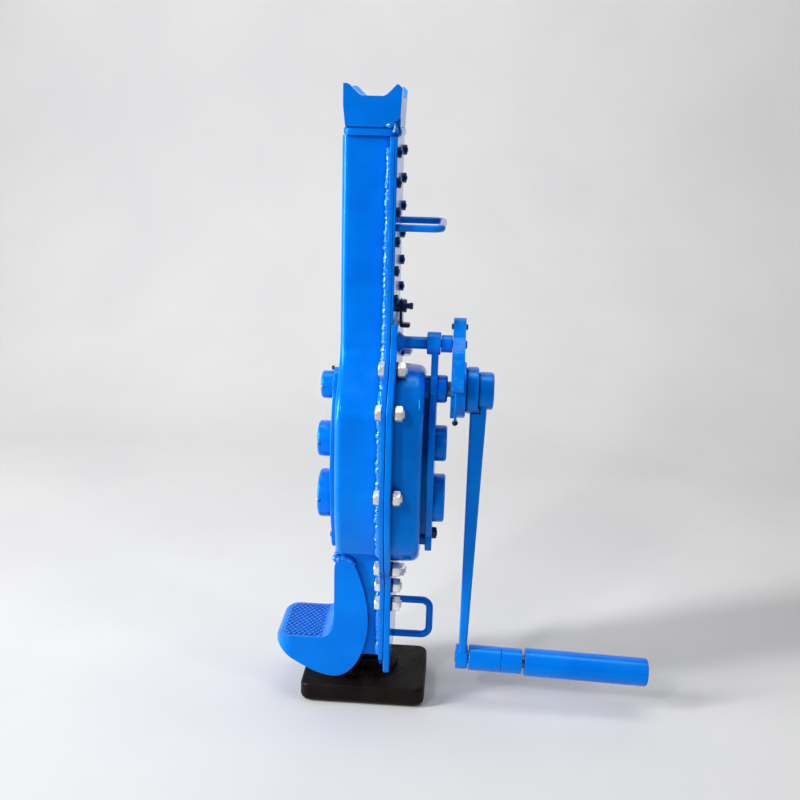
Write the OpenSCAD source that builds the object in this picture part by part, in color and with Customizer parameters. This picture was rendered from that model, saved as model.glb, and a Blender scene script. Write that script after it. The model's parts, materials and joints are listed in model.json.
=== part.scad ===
// Rack-and-pinion steel lifting jack, lowered.
// X runs from the claw side to the crank side, Y from front to back, Z up.
// The origin is the centre of the base plate's underside.

/* [Base and rack] */
// Length of the base plate along X
base_l = 153; // [150:1:160]
// Width of the base plate along Y
base_w = 111; // [108:1:120]
// Thickness of the base plate
base_t = 26; // [24:1:28]
// Width of the rack bar along X
rack_w = 30; // [26:1:32]
// Height of the rack's upper end
rack_top = 664; // [660:1:668]

/* [Channel body] */
// Half width of the channel along Y
tube_hy = 38; // [37:0.5:39]
// Left face of the channel's web
web_x = -33; // [-34:0.5:-32]
// Plane where the channel's flange meets the covers
flange_x = 25; // [24.5:0.5:25.5]
// Wall thickness of the pressed channel
wall = 3.5; // [3:0.5:4]
// Lower end of the channel's flange
body_z0 = 52; // [50:1:56]
// Lower end of the channel's walls
channel_z0 = 62; // [60:1:64]
// Upper end of the channel
body_z1 = 677; // [676:1:678]
// How far the flange stands out past the wall
flange_w = 18.5; // [18:0.5:20]
// Thickness of the channel's flange
flange_t = 5; // [4:0.5:6]

/* [Gear train] */
// Y of the three shafts
shaft_y = -27; // [-28:0.5:-26.5]
// Height of the crank shaft
crank_z = 399.5; // [399:0.5:400]
// Module of the first gear pair
mod_1 = 2.5; // [2.5:0.5:2.5]
// Module of the second gear pair
mod_2 = 3; // [3:0.5:3]
// Module of the drive pinion and rack
mod_3 = 5; // [5:0.5:5]
// Teeth of the crank pinion and of the second pinion
pinion_n = 12; // [12:1:12]
// Teeth of the gear on the second shaft
gear_2_n = 40; // [40:1:40]
// Teeth of the gear on the third shaft
gear_3_n = 33; // [33:1:33]
// Teeth of the drive pinion
drive_n = 9; // [9:1:9]

/* [Gear cover] */
// Thickness of the cover's flange
cover_flange_t = 8; // [7:0.5:8]
// Outer face of the gear cover
cover_x = 65; // [64:0.5:66]
// Lower end of the gear box
cover_z0 = 190; // [188:1:196]
// Upper end of the gear box
cover_z1 = 426; // [424:1:430]
// Upper end of the cover's flange
cover_flange_z1 = 478; // [474:1:480]

/* [Crank] */
// Distance from the crank shaft to the grip
crank_r = 339.5; // [330:0.5:340]
// Inner face of the crank arm
arm_x = 116.5; // [116:0.5:118]
// Outer end of the grip
grip_x1 = 346.5; // [330:0.5:350]
// Radius of the turning sleeve
sleeve_r = 17; // [16:0.5:18]
// Droop of the grip below horizontal, in degrees
grip_droop = 1.8; // [0:0.1:2]

/* [Head and claw] */
// Height of the horn tips
head_top = 729.5; // [728:0.5:731]
// Half depth of the head along Y
head_hy = 48; // [46:0.5:50]
// Height of the claw's pad
pad_z = 84; // [83:0.5:86]
// Half width of the claw along Y
claw_hy = 44; // [43:0.5:46]

/* [Hidden] */
$fn = 64;
BLUE = [0.05, 0.42, 0.86];
ZINC = [0.78, 0.79, 0.8];
IRON = [0.12, 0.11, 0.1];
STEEL = [0.55, 0.55, 0.56];
BRONZE = [0.72, 0.52, 0.25];
DARK = [0.04, 0.12, 0.3];

// Gear train, from the driving dimensions.
press_angle = 25;
shaft_2_z = crank_z - mod_1 * (pinion_n + gear_2_n) / 2;
shaft_3_z = shaft_2_z - mod_2 * (pinion_n + gear_3_n) / 2;
pitch_y = shaft_y + mod_3 * drive_n / 2;
rack_pitch = PI * mod_3;
rack_addendum = 3.9;
rack_dedendum = 6;
rack_back_y = 22;
foot_y = (pitch_y + rack_back_y) / 2;
shaft_r = [9, 10, 13];
shaft_z = [crank_z, shaft_2_z, shaft_3_z];
bush_wall = 3;
run_gap = 0.05;
third_gear_x = [34, 44];
second_pinion_x = [33.5, 44.6];
second_gear_x = [47, 57];
crank_pinion_x = [46.5, 57.5];
drive_pinion_x = [-14, 14];

// Body outline in the YZ plane: a straight channel with a belly around the gears.
belly_y = -84;
belly_z0 = 203;
belly_full_z0 = 300;
belly_full_z1 = 372;
belly_z1 = 452;
belly_foot_y = -60;
far_y = tube_hy + flange_w;
far_bolt_y = far_y - 9.5;
foot_cut = 14;
toe_z = 43.5;

// Bearing plates and caps.
plate_t = 7;
plate_z0 = 196;
plate_z1 = 424;
plate_half = 38;
right_plate_x = [70.5, 78.5];
cap_r = [16, 21, 28.5];
left_cap_t = [14, 17.3, 16];
right_boss_x1 = [90, 91.8, 91.8];
eye_z = 452.4;
eye_r = 13;
stay_r = 7;
plate_bolt_z = [222, 330];
plate_bolt_y = [shaft_y, shaft_y + 30];
left_screw_z = [419.4, 214];
left_screw_r = [2.6, 4];

// Handles, thumb screw and strap.
upper_handle_z = 582;
upper_handle_r = 4;
lower_handle_z = [72.5, 119.5];
lower_handle_r = 4.4;
stop_y = -30;
stop_z = 494.5;

// Fasteners.
cover_bolt_z = [for (i = [0:5]) 504 + i * 31.4];
cover_bolt_y = 47.5;
m6_r = 3;
m6_flats = 10;
m10_r = 5;
m10_flats = 16;
m8_flats = 13;
flange_bolt_z = [137, 161, 190, 289, 387, 428];

// Ratchet and pawl.
ratchet_x = [94, 101];
brake_x = [101, 111];
brake_r = 32.3;
ratchet_r = 33;
ratchet_root_r = 28.5;
ratchet_n = 14;
ratchet_phase = -0.03;
pawl_x = [94, 108.2];
elbow = [-63, 447];
nose = [-67, 413];
thumb = [-19, 474];
hub_x1 = 125.2;
arm_boss_x = [126.4, 142.6];

function clamp01(t) = min(1, max(0, t));
function smooth(t) = let (u = clamp01(t)) u * u * (3 - 2 * u);
function mix(a, b, t) = a + (b - a) * t;
function near_y(z) =
  z > belly_full_z1
    ? mix(belly_y, -tube_hy, smooth((z - belly_full_z1) / (belly_z1 - belly_full_z1)))
    : mix(belly_y, belly_foot_y, pow(clamp01((belly_full_z0 - z) / (belly_full_z0 - belly_z0)), 2));
function flange_y(z) =
  z > belly_z0
    ? near_y(z > belly_full_z0 ? max(belly_full_z0, z - 8) : z) - flange_w
    : mix(-tube_hy - flange_w, belly_foot_y - flange_w, smooth((z - 160) / (belly_z0 - 160)));
function bolt_y(z) =
  z < belly_z0 ? flange_y(z) + 8.8 : z < 400 ? belly_y - 9.3 : near_y(z - 5) - 9.5;

function involute(a) = tan(a) * 180 / PI - a;
// Outline of an involute gear, centred, with one tooth on the first axis.
function gear_points(n, m, thin = 0.94, add = 1) =
  let (
    rp = n * m / 2,
    rb = rp * cos(press_angle),
    ra = rp + m * add,
    rr = rp - 1.25 * m,
    half = 90 / n * thin + involute(press_angle),
    rs = [max(rb, rr + 0.2), mix(max(rb, rr + 0.2), ra, 0.5), ra],
    flank = [for (r = rs) [r, half - involute(acos(min(1, rb / r)))]]
  )
  [
    for (k = [0:n - 1])
      let (c = k * 360 / n)
      for (p = concat([[rr, -flank[0][1]]], [for (f = flank) [f[0], -f[1]]],
                      [for (i = [2:-1:0]) flank[i]], [[rr, flank[0][1]]]))
        [p[0] * cos(c + p[1]), p[0] * sin(c + p[1])]
  ];

// Rack outline in the YZ plane, teeth towards the front.
function rack_points() =
  let (
    n = 26,
    z_first = shaft_3_z - 2 * rack_pitch,
    tip = rack_pitch / 4 * 0.94 - rack_addendum * tan(press_angle),
    foot = rack_pitch / 4 * 0.94 + rack_dedendum * tan(press_angle),
    y_tip = pitch_y - rack_addendum,
    y_foot = pitch_y + rack_dedendum
  )
  concat(
    [[rack_back_y, rack_top], [rack_back_y, base_t], [y_tip, base_t],
     [y_tip, z_first - rack_pitch / 2 + tip], [y_foot, z_first - rack_pitch / 2 + foot]],
    [
      for (k = [0:n - 1])
        let (z = z_first + k * rack_pitch)
        for (p = [[y_foot, -foot], [y_tip, -tip], [y_tip, tip], [y_foot, foot]])
          [p[0], z + rack_pitch / 2 + p[1]]
    ],
    [[y_foot, rack_top]]
  );

// Extrudes a YZ outline along X.
module slab_x(x0, x1) {
  translate([x0, 0, 0]) rotate([90, 0, 90]) linear_extrude(x1 - x0) children();
}

// Extrudes an XZ outline along Y.
module slab_y(y0, y1) {
  translate([0, y1, 0]) rotate([90, 0, 0]) linear_extrude(y1 - y0) children();
}

module cyl_x(x0, x1, r, y, z) {
  translate([x0, y, z]) rotate([0, 90, 0]) cylinder(h = x1 - x0, r = r);
}

// A cylinder along X that narrows to r1 - bevel at its far end.
module cap_x(x0, x1, r, y, z, bevel) {
  dir = x1 > x0 ? 1 : -1;
  translate([x0, y, z]) rotate([0, 90 * dir, 0]) rotate_extrude()
    polygon([[0, 0], [r, 0], [r, abs(x1 - x0) - bevel], [r - bevel, abs(x1 - x0)], [0, abs(x1 - x0)]]);
}

// A hexagon prism along X with its corners up and down.
module hex_x(x0, x1, flats, y, z) {
  translate([x0, y, z]) rotate([0, 90, 0]) cylinder(h = x1 - x0, r = flats / sqrt(3), $fn = 6);
}

module round_rect(x0, x1, y0, y1, r) {
  translate([x0 + r, y0]) square([x1 - x0 - 2 * r, y1 - y0]);
  translate([x0, y0 + r]) square([x1 - x0, y1 - y0 - 2 * r]);
  for (x = [x0 + r, x1 - r], y = [y0 + r, y1 - r]) translate([x, y]) circle(r);
}

module base_plate() {
  color(IRON) difference() {
    hull() for (s = [[0, 8], [8, 0.5], [base_t - 2, 0], [base_t, 2]])
      translate([0, 0, min(s[0], base_t - 0.01)]) linear_extrude(0.01)
        for (x = [-1, 1], y = [-1, 1])
          translate([x * (base_l / 2 - 12), y * (base_w / 2 - 12)]) circle(12 - s[1], $fn = 32);
    translate([0, foot_y, -1]) cylinder(h = base_t + 2, r = 8.5);
    translate([0, foot_y, -1]) cylinder(h = 12, r = 14);
  }
}

module rack() {
  color(STEEL) difference() {
    slab_x(-rack_w / 2, rack_w / 2) polygon(rack_points());
    translate([0, foot_y, base_t - 1]) cylinder(h = 45, r = 8.05);
  }
}

module foot_collar() {
  color(IRON) difference() {
    translate([0, foot_y, base_t]) rotate_extrude()
      polygon([[0, 0], [40, 0], [40, 5], [38.5, 6.7], [28, 6.7], [28, 16], [26, 18], [0, 18]]);
    translate([-60, -60, base_t]) cube([60 + web_x + 0.3, 120, 30]);
    translate([-rack_w / 2, pitch_y - rack_addendum, base_t - 1])
      cube([rack_w, rack_back_y - pitch_y + rack_addendum, 30]);
  }
}

module foot_screw() {
  color(ZINC) difference() {
    translate([0, foot_y, 1]) union() {
      cylinder(h = 9.9, r = 13.5);
      cylinder(h = base_t + 38, r = 8);
    }
    translate([0, foot_y, 0]) cylinder(h = 8, r = 7, $fn = 6);
  }
}

module channel_section(x0, hy, r) {
  round_rect(x0, 0, -hy, hy, r);
  translate([-16, -hy]) square([flange_x + 16, 2 * hy]);
}

module belly_outline(inset) {
  polygon(concat(
    [[0, belly_z0 + inset]],
    [for (z = [belly_z0 + inset:9:belly_z1]) [near_y(z) + inset, z]],
    [[-tube_hy + inset, belly_z1 + 1], [0, belly_z1 + 1]]
  ));
}

module flange_outline(z1) {
  polygon(concat(
    [[far_y, z1], [far_y, body_z0 + foot_cut], [far_y - foot_cut, body_z0], [foot_cut - far_y, body_z0]],
    [for (z = [body_z0 + foot_cut:9:z1]) [flange_y(z), z]],
    [[-tube_hy - flange_w, z1]]
  ));
}

module shaft_holes(x0, x1, extra) {
  for (i = [0:2]) cyl_x(x0, x1, shaft_r[i] + extra, shaft_y, shaft_z[i]);
}

module flange_bolt_holes(x0, x1) {
  for (z = flange_bolt_z, y = [bolt_y(z), far_bolt_y]) cyl_x(x0, x1, m10_r + 0.5, y, z);
}

module cover_bolt_holes(x0, x1) {
  for (z = cover_bolt_z, y = [-cover_bolt_y, cover_bolt_y]) cyl_x(x0, x1, m6_r + 0.3, y, z);
}

module channel_body() {
  color(BLUE) difference() {
    union() {
      translate([0, 0, channel_z0]) linear_extrude(body_z1 - channel_z0)
        channel_section(web_x, tube_hy, 8);
      slab_x(web_x + 3, flange_x) belly_outline(0);
      slab_x(web_x, web_x + 3.5) belly_outline(3);
    }
    translate([0, 0, channel_z0 - 1]) linear_extrude(body_z1 - channel_z0 + 2)
      channel_section(web_x + wall, tube_hy - wall, 5);
    slab_x(web_x + wall, flange_x + 1) belly_outline(wall);
    shaft_holes(web_x - 1, 0, bush_wall);
  }
}

// Plate welded round the channel's mouth, which the covers bolt to.
module body_flange() {
  color(BLUE) difference() {
    slab_x(flange_x - flange_t, flange_x) flange_outline(body_z1);
    translate([0, 0, channel_z0]) linear_extrude(body_z1)
      translate([0, -tube_hy]) square([flange_x + 1, 2 * tube_hy]);
    translate([0, 0, body_z0 - 1]) linear_extrude(channel_z0 - body_z0 + 2)
      translate([0, wall - tube_hy]) square([flange_x + 1, 2 * (tube_hy - wall)]);
    slab_x(flange_x - flange_t - 1, flange_x + 1) belly_outline(0);
    flange_bolt_holes(flange_x - 20, flange_x + 1);
    cover_bolt_holes(flange_x - 20, flange_x + 1);
  }
}

module upper_cover() {
  color(BLUE) difference() {
    slab_x(flange_x, flange_x + 3)
      translate([-far_y, cover_flange_z1 + 0.5]) square([2 * far_y, body_z1 - cover_flange_z1 - 0.5]);
    cover_bolt_holes(flange_x - 1, flange_x + 5);
    for (y = [-45, 45]) cyl_x(flange_x - 1, flange_x + 5, upper_handle_r, y, upper_handle_z);
    cyl_x(flange_x - 1, flange_x + 5, 5, stop_y, stop_z);
  }
}

module box_outline(inset, r = 52) {
  round_rect(belly_y + inset, shaft_y * 2 - belly_y - inset, cover_z0 + inset, cover_z1 - inset,
             r - inset);
}

// Rounded toe where the cover's flange runs down past the channel's.
module cover_toe() {
  polygon([
    [-far_y, body_z0 + foot_cut], [3 - far_y, toe_z + 5], [7 - far_y, toe_z + 1], [11 - far_y, toe_z],
    [17 - far_y, toe_z + 2], [21 - far_y, toe_z + 6], [23 - far_y, body_z0 + 1],
    [23 - far_y, body_z0 + foot_cut]
  ]);
}

module gear_cover() {
  color(BLUE) difference() {
    union() {
      slab_x(flange_x, flange_x + cover_flange_t) {
        flange_outline(cover_flange_z1);
        cover_toe();
        mirror([1, 0]) cover_toe();
      }
      hull() {
        slab_x(flange_x, cover_x - 8) box_outline(0, $fn = 64);
        slab_x(cover_x - 2.5, cover_x - 2.4) box_outline(2.5, $fn = 64);
        slab_x(cover_x - 0.1, cover_x) box_outline(8, $fn = 64);
      }
      slab_x(cover_x - 0.1, right_plate_x[0]) lens_outline(7);
    }
    slab_x(flange_x - 1, cover_x - 4) box_outline(4);
    translate([flange_x - 1, 0, 0]) slab_x(0, cover_flange_t - 3)
      translate([-30, body_z0 + 10]) square([60, cover_flange_z1 - body_z0 - 20]);
    shaft_holes(cover_x - 20, right_plate_x[0] + 1, bush_wall);
    flange_bolt_holes(flange_x - 1, flange_x + 20);
    cyl_x(flange_x - 1, flange_x + 20, stay_r, shaft_y, eye_z);
    for (z = lower_handle_z) cyl_x(flange_x + 4, flange_x + 20, lower_handle_r, 0, z);
    plate_bolt_holes(cover_x - 10, right_plate_x[1]);
  }
}

// Pointed oval of the bearing plates, shrunk by inset.
module lens_outline(inset) {
  zc = (plate_z0 + plate_z1) / 2;
  hz = (plate_z1 - plate_z0) / 2;
  big = (hz * hz + plate_half * plate_half) / (2 * plate_half);
  intersection() {
    translate([shaft_y + plate_half - big, zc]) circle(big - inset, $fn = 180);
    translate([shaft_y - plate_half + big, zc]) circle(big - inset, $fn = 180);
  }
  for (s = [-1, 1]) translate([shaft_y, zc + s * (hz - 22)]) circle(18 - inset);
}

module plate_bolt_holes(x0, x1) {
  for (i = [0:1]) cyl_x(x0, x1, 4.2, plate_bolt_y[i], plate_bolt_z[i]);
}

module left_bearing_plate() {
  color(BLUE) difference() {
    slab_x(web_x - plate_t, web_x) lens_outline(0);
    shaft_holes(web_x - plate_t - 1, web_x + 1, bush_wall);
  }
}

module right_bearing_plate() {
  color(BLUE) difference() {
    union() {
      slab_x(right_plate_x[0], right_plate_x[1]) {
        lens_outline(0);
        translate([shaft_y - 11, plate_z1 - 20]) square([22, eye_z - plate_z1 + 20]);
      }
      cyl_x(65, 80.5, eye_r, shaft_y, eye_z);
    }
    shaft_holes(right_plate_x[0] - 1, right_plate_x[1] + 1, bush_wall);
    cyl_x(60, 90, stay_r, shaft_y, eye_z);
    plate_bolt_holes(right_plate_x[0] - 1, right_plate_x[1] + 1);
  }
}

// Closed cap over a shaft end on the web side, with a spanner slot across its face.
module left_cap(i) {
  x1 = web_x - plate_t - left_cap_t[i];
  color(BLUE) difference() {
    cap_x(web_x - plate_t, x1, cap_r[i], shaft_y, shaft_z[i], 3);
    cyl_x(web_x - plate_t - 7, web_x, shaft_r[i] + 1, shaft_y, shaft_z[i]);
    translate([x1 - 1, shaft_y - 40, shaft_z[i] - 1.6]) cube([5.5, 80, 3.2]);
  }
}
module crank_cap_left() { left_cap(0); }
module second_cap_left() { left_cap(1); }
module third_cap_left() { left_cap(2); }

// Boss on the crank-side bearing plate: open for the crank shaft, closed for the others.
module right_boss(i) {
  color(BLUE) difference() {
    cap_x(right_plate_x[1], right_boss_x1[i], cap_r[i], shaft_y, shaft_z[i], 2.5);
    cyl_x(right_plate_x[1] - 1, i == 0 ? 100 : right_plate_x[1] + 6, shaft_r[i] + 0.6,
          shaft_y, shaft_z[i]);
  }
}
module crank_boss() { right_boss(0); }
module second_boss() { right_boss(1); }
module third_boss() { right_boss(2); }

module shaft_bushes() {
  color(BRONZE) for (i = [0:2], x = [[web_x - plate_t, web_x + wall + 4], [cover_x - 6, right_plate_x[1]]])
    difference() {
      cyl_x(x[0], x[1], shaft_r[i] + bush_wall, shaft_y, shaft_z[i]);
      cyl_x(x[0] - 1, x[1] + 1, shaft_r[i] + run_gap, shaft_y, shaft_z[i]);
    }
}

module plate_bolts() {
  color(DARK) for (i = [0:1]) {
    cyl_x(right_plate_x[0] - 7, right_plate_x[1] + 2, 4, plate_bolt_y[i], plate_bolt_z[i]);
    hex_x(right_plate_x[1], right_plate_x[1] + 6, m8_flats, plate_bolt_y[i], plate_bolt_z[i]);
  }
}

// Small screws at the ends of the web-side bearing plate.
module left_plate_screws() {
  color(DARK) for (i = [0:1])
    cap_x(web_x - plate_t, web_x - plate_t - 3, left_screw_r[i], shaft_y, left_screw_z[i], 1);
}

// Blocks that guide the rack in the channel.
module rack_guides() {
  gap = 0.3;
  color(BRONZE) difference() {
    union() {
      for (z = [[62, 92], [206, 234]])
        translate([web_x + wall, -tube_hy + wall, z[0]])
          cube([flange_x - web_x - wall - 0.1, 2 * (tube_hy - wall), z[1] - z[0]]);
      translate([web_x + wall + 6, rack_back_y + gap, 298])
        cube([flange_x - web_x - wall - 7, tube_hy - wall - rack_back_y - gap, 14]);
    }
    translate([-rack_w / 2 - gap, pitch_y - rack_addendum - gap, 0])
      cube([rack_w + 2 * gap, rack_back_y - pitch_y + rack_addendum + 2 * gap, 700]);
    for (x = [web_x + wall, flange_x], y = [-tube_hy + wall, tube_hy - wall])
      translate([x, y, 60]) cylinder(h = 300, r = x < 0 ? 5.2 : 0.5, $fn = 32);
  }
}

// Band under the head.
module head_collar() {
  color(BLUE) difference() {
    translate([0, 0, body_z1]) linear_extrude(9)
      round_rect(web_x + 1.5, 31, -tube_hy - 6, tube_hy + 6, 8);
    translate([-rack_w / 2 - 3, -30, body_z1 - 1]) cube([rack_w + 6, 60, 12]);
  }
}

// Head with four horned corners round a flat saddle.
module head() {
  saddle_z = head_top - 12;
  color(BLUE) intersection() {
    slab_y(-head_hy, head_hy) polygon([
      [-29, body_z1 + 9], [12, body_z1 + 9], [29.5, body_z1 + 17], [31, head_top - 4],
      [26.8, head_top], [24.5, head_top - 0.7], [11.5, saddle_z], [-11.5, saddle_z],
      [-24.5, head_top - 1.2], [-27, head_top], [-31, head_top], [-31, body_z1 + 30]
    ]);
    slab_x(-40, 40) polygon([
      [3 - head_hy, body_z1 + 9], [head_hy - 3, body_z1 + 9], [head_hy, head_top - 10],
      [head_hy, head_top], [head_hy - 5, head_top], [head_hy - 20, saddle_z], [20 - head_hy, saddle_z],
      [5 - head_hy, head_top], [-head_hy, head_top], [-head_hy, head_top - 10]
    ]);
  }
}

// Forged lifting claw whose cheeks straddle the channel.
module claw() {
  color(BLUE) difference() {
    slab_y(-claw_hy, claw_hy) union() {
      polygon([
        [-36, 178], [-36, pad_z + 12], [-48, pad_z], [-102, pad_z], [-109, pad_z - 4], [-107, 70],
        [-90, 54], [-62, 38.5], [-38, 32.5], [-28, 33.5], [-14, 44], [-1.5, 67], [5, 95],
        [5.5, 108], [3, 138], [-5, 168], [-16, 186]
      ]);
      translate([-24, 178]) circle(12);
    }
    translate([web_x, -tube_hy, 0]) cube([100, 2 * tube_hy, 300]);
  }
}

// Square-cornered loop of round rod: two legs and a grip between quarter bends.
module rod_loop(leg, span, r, bend) {
  for (s = [-1, 1]) {
    translate([0, s * span / 2, 0]) rotate([0, 90, 0]) cylinder(h = leg - bend, r = r);
    translate([leg - bend, s * (span / 2 - bend), 0])
      rotate([0, 0, s > 0 ? 0 : -90]) rotate_extrude(angle = 90) translate([bend, 0]) circle(r, $fn = 32);
  }
  translate([leg, -span / 2 + bend, 0]) rotate([-90, 0, 0]) cylinder(h = span - 2 * bend, r = r);
}

module upper_handle() {
  color(BLUE) translate([flange_x, 0, upper_handle_z]) rod_loop(52, 90, upper_handle_r, 11);
}

module lower_handle() {
  zc = (lower_handle_z[0] + lower_handle_z[1]) / 2;
  color(BLUE) translate([flange_x + 4, 0, zc]) rotate([90, 0, 0])
    rod_loop(49.5, lower_handle_z[1] - lower_handle_z[0], lower_handle_r, 10);
}

module flange_bolts() {
  color(ZINC) for (z = flange_bolt_z, y = [bolt_y(z), far_bolt_y]) {
    cyl_x(flange_x - flange_t, flange_x + cover_flange_t + 12.5, m10_r, y, z);
    hex_x(flange_x - flange_t - 6.4, flange_x - flange_t, m10_flats, y, z);
  }
}

module flange_washers() {
  x = flange_x + cover_flange_t;
  color(DARK) for (z = flange_bolt_z, y = [bolt_y(z), far_bolt_y]) difference() {
    cyl_x(x, x + 2, 8.9, y, z);
    cyl_x(x - 1, x + 3, m10_r, y, z);
  }
}

module flange_nuts() {
  x = flange_x + cover_flange_t + 2;
  color(ZINC) for (z = flange_bolt_z, y = [bolt_y(z), far_bolt_y]) difference() {
    hex_x(x, x + 8.4, m10_flats, y, z);
    cyl_x(x - 1, x + 10, m10_r, y, z);
  }
}

module cover_bolts() {
  color(BLUE) for (z = cover_bolt_z, y = [-cover_bolt_y, cover_bolt_y]) {
    cyl_x(flange_x - flange_t, flange_x + 8.2, m6_r, y, z);
    cap_x(flange_x - flange_t, flange_x - flange_t - 4, 5.2, y, z, 1.8);
  }
}

module cover_nuts() {
  color(DARK) for (z = cover_bolt_z, y = [-cover_bolt_y, cover_bolt_y]) difference() {
    hex_x(flange_x + 3, flange_x + 7.2, m6_flats, y, z);
    cyl_x(flange_x, flange_x + 9, m6_r, y, z);
  }
}

// Thumb screw above the gear cover, with a spacer behind its head.
module stop_screw() {
  color(DARK) {
    cyl_x(flange_x + 0.1, flange_x + 8, 5, stop_y, stop_z);
    cap_x(flange_x + 8, flange_x + 23, 3.8, stop_y, stop_z - 1.5, 0.8);
    hex_x(flange_x + 11.3, flange_x + 16, 13, stop_y, stop_z);
    cyl_x(flange_x + 3, flange_x + 8.2, 7, stop_y, stop_z);
  }
}

// Bent strap under the thumb screw, for hanging the crank or a chain.
module latch_hook() {
  color(DARK) difference() {
    slab_y(stop_y - 5, stop_y + 5) polygon([
      [flange_x + 8.3, stop_z - 24], [flange_x + 19.5, stop_z - 24], [flange_x + 20.5, stop_z - 19.5],
      [flange_x + 12, stop_z - 19.8], [flange_x + 11.2, stop_z - 17], [flange_x + 11.2, stop_z + 8.5],
      [flange_x + 8.3, stop_z + 8.5]
    ]);
    cyl_x(flange_x + 8, flange_x + 11.3, 5.3, stop_y, stop_z - 0.7);
  }
}

module stay_pin() {
  color(BLUE) {
    cyl_x(flange_x, 80.5, stay_r, shaft_y, eye_z);
    cap_x(flange_x + cover_flange_t, flange_x + cover_flange_t + 6, 12, shaft_y, eye_z, 4);
    cyl_x(80.5, pawl_x[1] + 2, 4.5, shaft_y, eye_z);
  }
}

module pawl_bush() {
  color(BLUE) difference() {
    cyl_x(81, 93.6, 10, shaft_y, eye_z);
    cyl_x(80, 95, 4.5, shaft_y, eye_z);
  }
}

// Two-armed pawl: a hook in front of the wheel and a thumb lever above.
module pawl_lever() {
  color(BLUE) difference() {
    union() {
      hull() {
        cyl_x(pawl_x[0], pawl_x[1], 11, shaft_y, eye_z, $fn = 32);
        cyl_x(pawl_x[0], pawl_x[1], 7, thumb[0], thumb[1], $fn = 32);
      }
      hull() {
        cyl_x(pawl_x[0], pawl_x[1], 11, shaft_y, eye_z, $fn = 32);
        cyl_x(pawl_x[0], pawl_x[1], 6.5, elbow[0], elbow[1], $fn = 32);
      }
      hull() {
        cyl_x(pawl_x[0], pawl_x[1], 6.5, elbow[0], elbow[1], $fn = 32);
        cyl_x(pawl_x[0], pawl_x[1], 6, nose[0], nose[1], $fn = 32);
      }
      slab_x(ratchet_x[0] + 0.3, ratchet_x[1] - 0.3)
        polygon([
          [nose[0], nose[1] + 5], [nose[0] + 8.6, nose[1] + 0.5],
          [nose[0] + 8, nose[1] - 3], [nose[0], nose[1] - 5]
        ]);
    }
    cyl_x(pawl_x[0] - 1, pawl_x[1] + 1, 4.55, shaft_y, eye_z);
    cyl_x(pawl_x[0] - 1, pawl_x[1] + 1, 3.2, thumb[0], thumb[1] - 3);
  }
}

module pawl_screw() {
  color(DARK) cyl_x(pawl_x[0] - 2.2, pawl_x[1] + 2.2, 3.2, thumb[0], thumb[1] - 3);
}

// Small ball on a wire under the hook, for flipping the pawl.
module pawl_knob() {
  color(DARK) translate([100, nose[0], 0]) {
    translate([0, 0, 374]) cylinder(h = nose[1] - 380, r = 1.6);
    translate([0, 0, 372]) sphere(3.4);
  }
}

module crank_shaft() {
  color(STEEL) union() {
    cyl_x(web_x - plate_t - 6, arm_x - 6, shaft_r[0], shaft_y, crank_z);
    cyl_x(arm_x - 7, 139, 8, shaft_y, crank_z);
  }
}

module gear_disc(x, n, m, phase, bore) {
  slab_x(x[0], x[1]) translate([shaft_y, 0]) difference() {
    rotate(phase) polygon(gear_points(n, m));
    circle(bore);
  }
}

module crank_pinion() {
  color(STEEL) translate([0, 0, crank_z]) gear_disc(crank_pinion_x, pinion_n, mod_1, 0, shaft_r[0]);
}

module ratchet_wheel() {
  tooth = 360 / ratchet_n;
  color(BLUE) slab_x(ratchet_x[0], ratchet_x[1]) translate([shaft_y, crank_z]) difference() {
    rotate(tooth * ratchet_phase) polygon([
      for (k = [0:ratchet_n - 1], p = [[ratchet_root_r, 0], [ratchet_r, 1.5], [ratchet_r, 6]])
        [p[0] * cos(k * tooth + p[1]), -p[0] * sin(k * tooth + p[1])]
    ]);
    circle(shaft_r[0]);
  }
}

module brake_disc() {
  color(BLUE) difference() {
    cap_x(brake_x[0], brake_x[1], brake_r, shaft_y, crank_z, 2);
    cyl_x(brake_x[0] - 1, brake_x[1] + 1, shaft_r[0], shaft_y, crank_z);
  }
}

module crank_hub() {
  color(BLUE) difference() {
    cap_x(arm_x - 5, hub_x1, 27, shaft_y, crank_z, 1.5);
    cyl_x(arm_x - 6, 130, 8, shaft_y, crank_z);
  }
}

module crank_arm() {
  grip_z = crank_z - crank_r;
  color(BLUE) difference() {
    union() {
      cap_x(arm_boss_x[0], arm_boss_x[1], 21.5, shaft_y, crank_z, 2.5);
      translate([arm_boss_x[0], shaft_y - 15, crank_z - 30]) cube([9, 30, 26]);
      hull() {
        translate([arm_x, shaft_y - 15, crank_z - 30]) cube([18.9, 30, 2]);
        translate([arm_x, shaft_y - 11, grip_z + 10]) cube([9.5, 22, 1]);
      }
      cyl_x(112.8, 127.8, 15, shaft_y, grip_z);
    }
    cyl_x(125, 139, 8, shaft_y, crank_z);
    cyl_x(112, 129, 8, shaft_y, grip_z);
  }
}

// Places children along the drooping grip axis, with X measured as on a level grip.
module on_grip() {
  translate([arm_x, shaft_y, crank_z - crank_r]) rotate([0, grip_droop, 0])
    translate([-arm_x, 0, 0]) children();
}

module grip_spindle() {
  color(STEEL) union() {
    cyl_x(113, 128.5, 8, shaft_y, crank_z - crank_r);
    on_grip() cyl_x(128.3, grip_x1 - 8, 7.9, 0, 0);
  }
}

module grip_tube(x0, x1) {
  color(BLUE) on_grip() difference() {
    cyl_x(x0, x1, 15.5, 0, 0);
    cyl_x(x0 - 1, x1 + 1, 7.9, 0, 0);
  }
}
module grip_fixed_tube() { grip_tube(129, 168.3); }
module grip_ring() { grip_tube(168.7, 194); }

module grip_sleeve() {
  color(BLUE) on_grip() difference() {
    cap_x(197, grip_x1, sleeve_r, 0, 0, 1.5);
    cyl_x(196, grip_x1 - 6, 8, 0, 0);
  }
}

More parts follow.
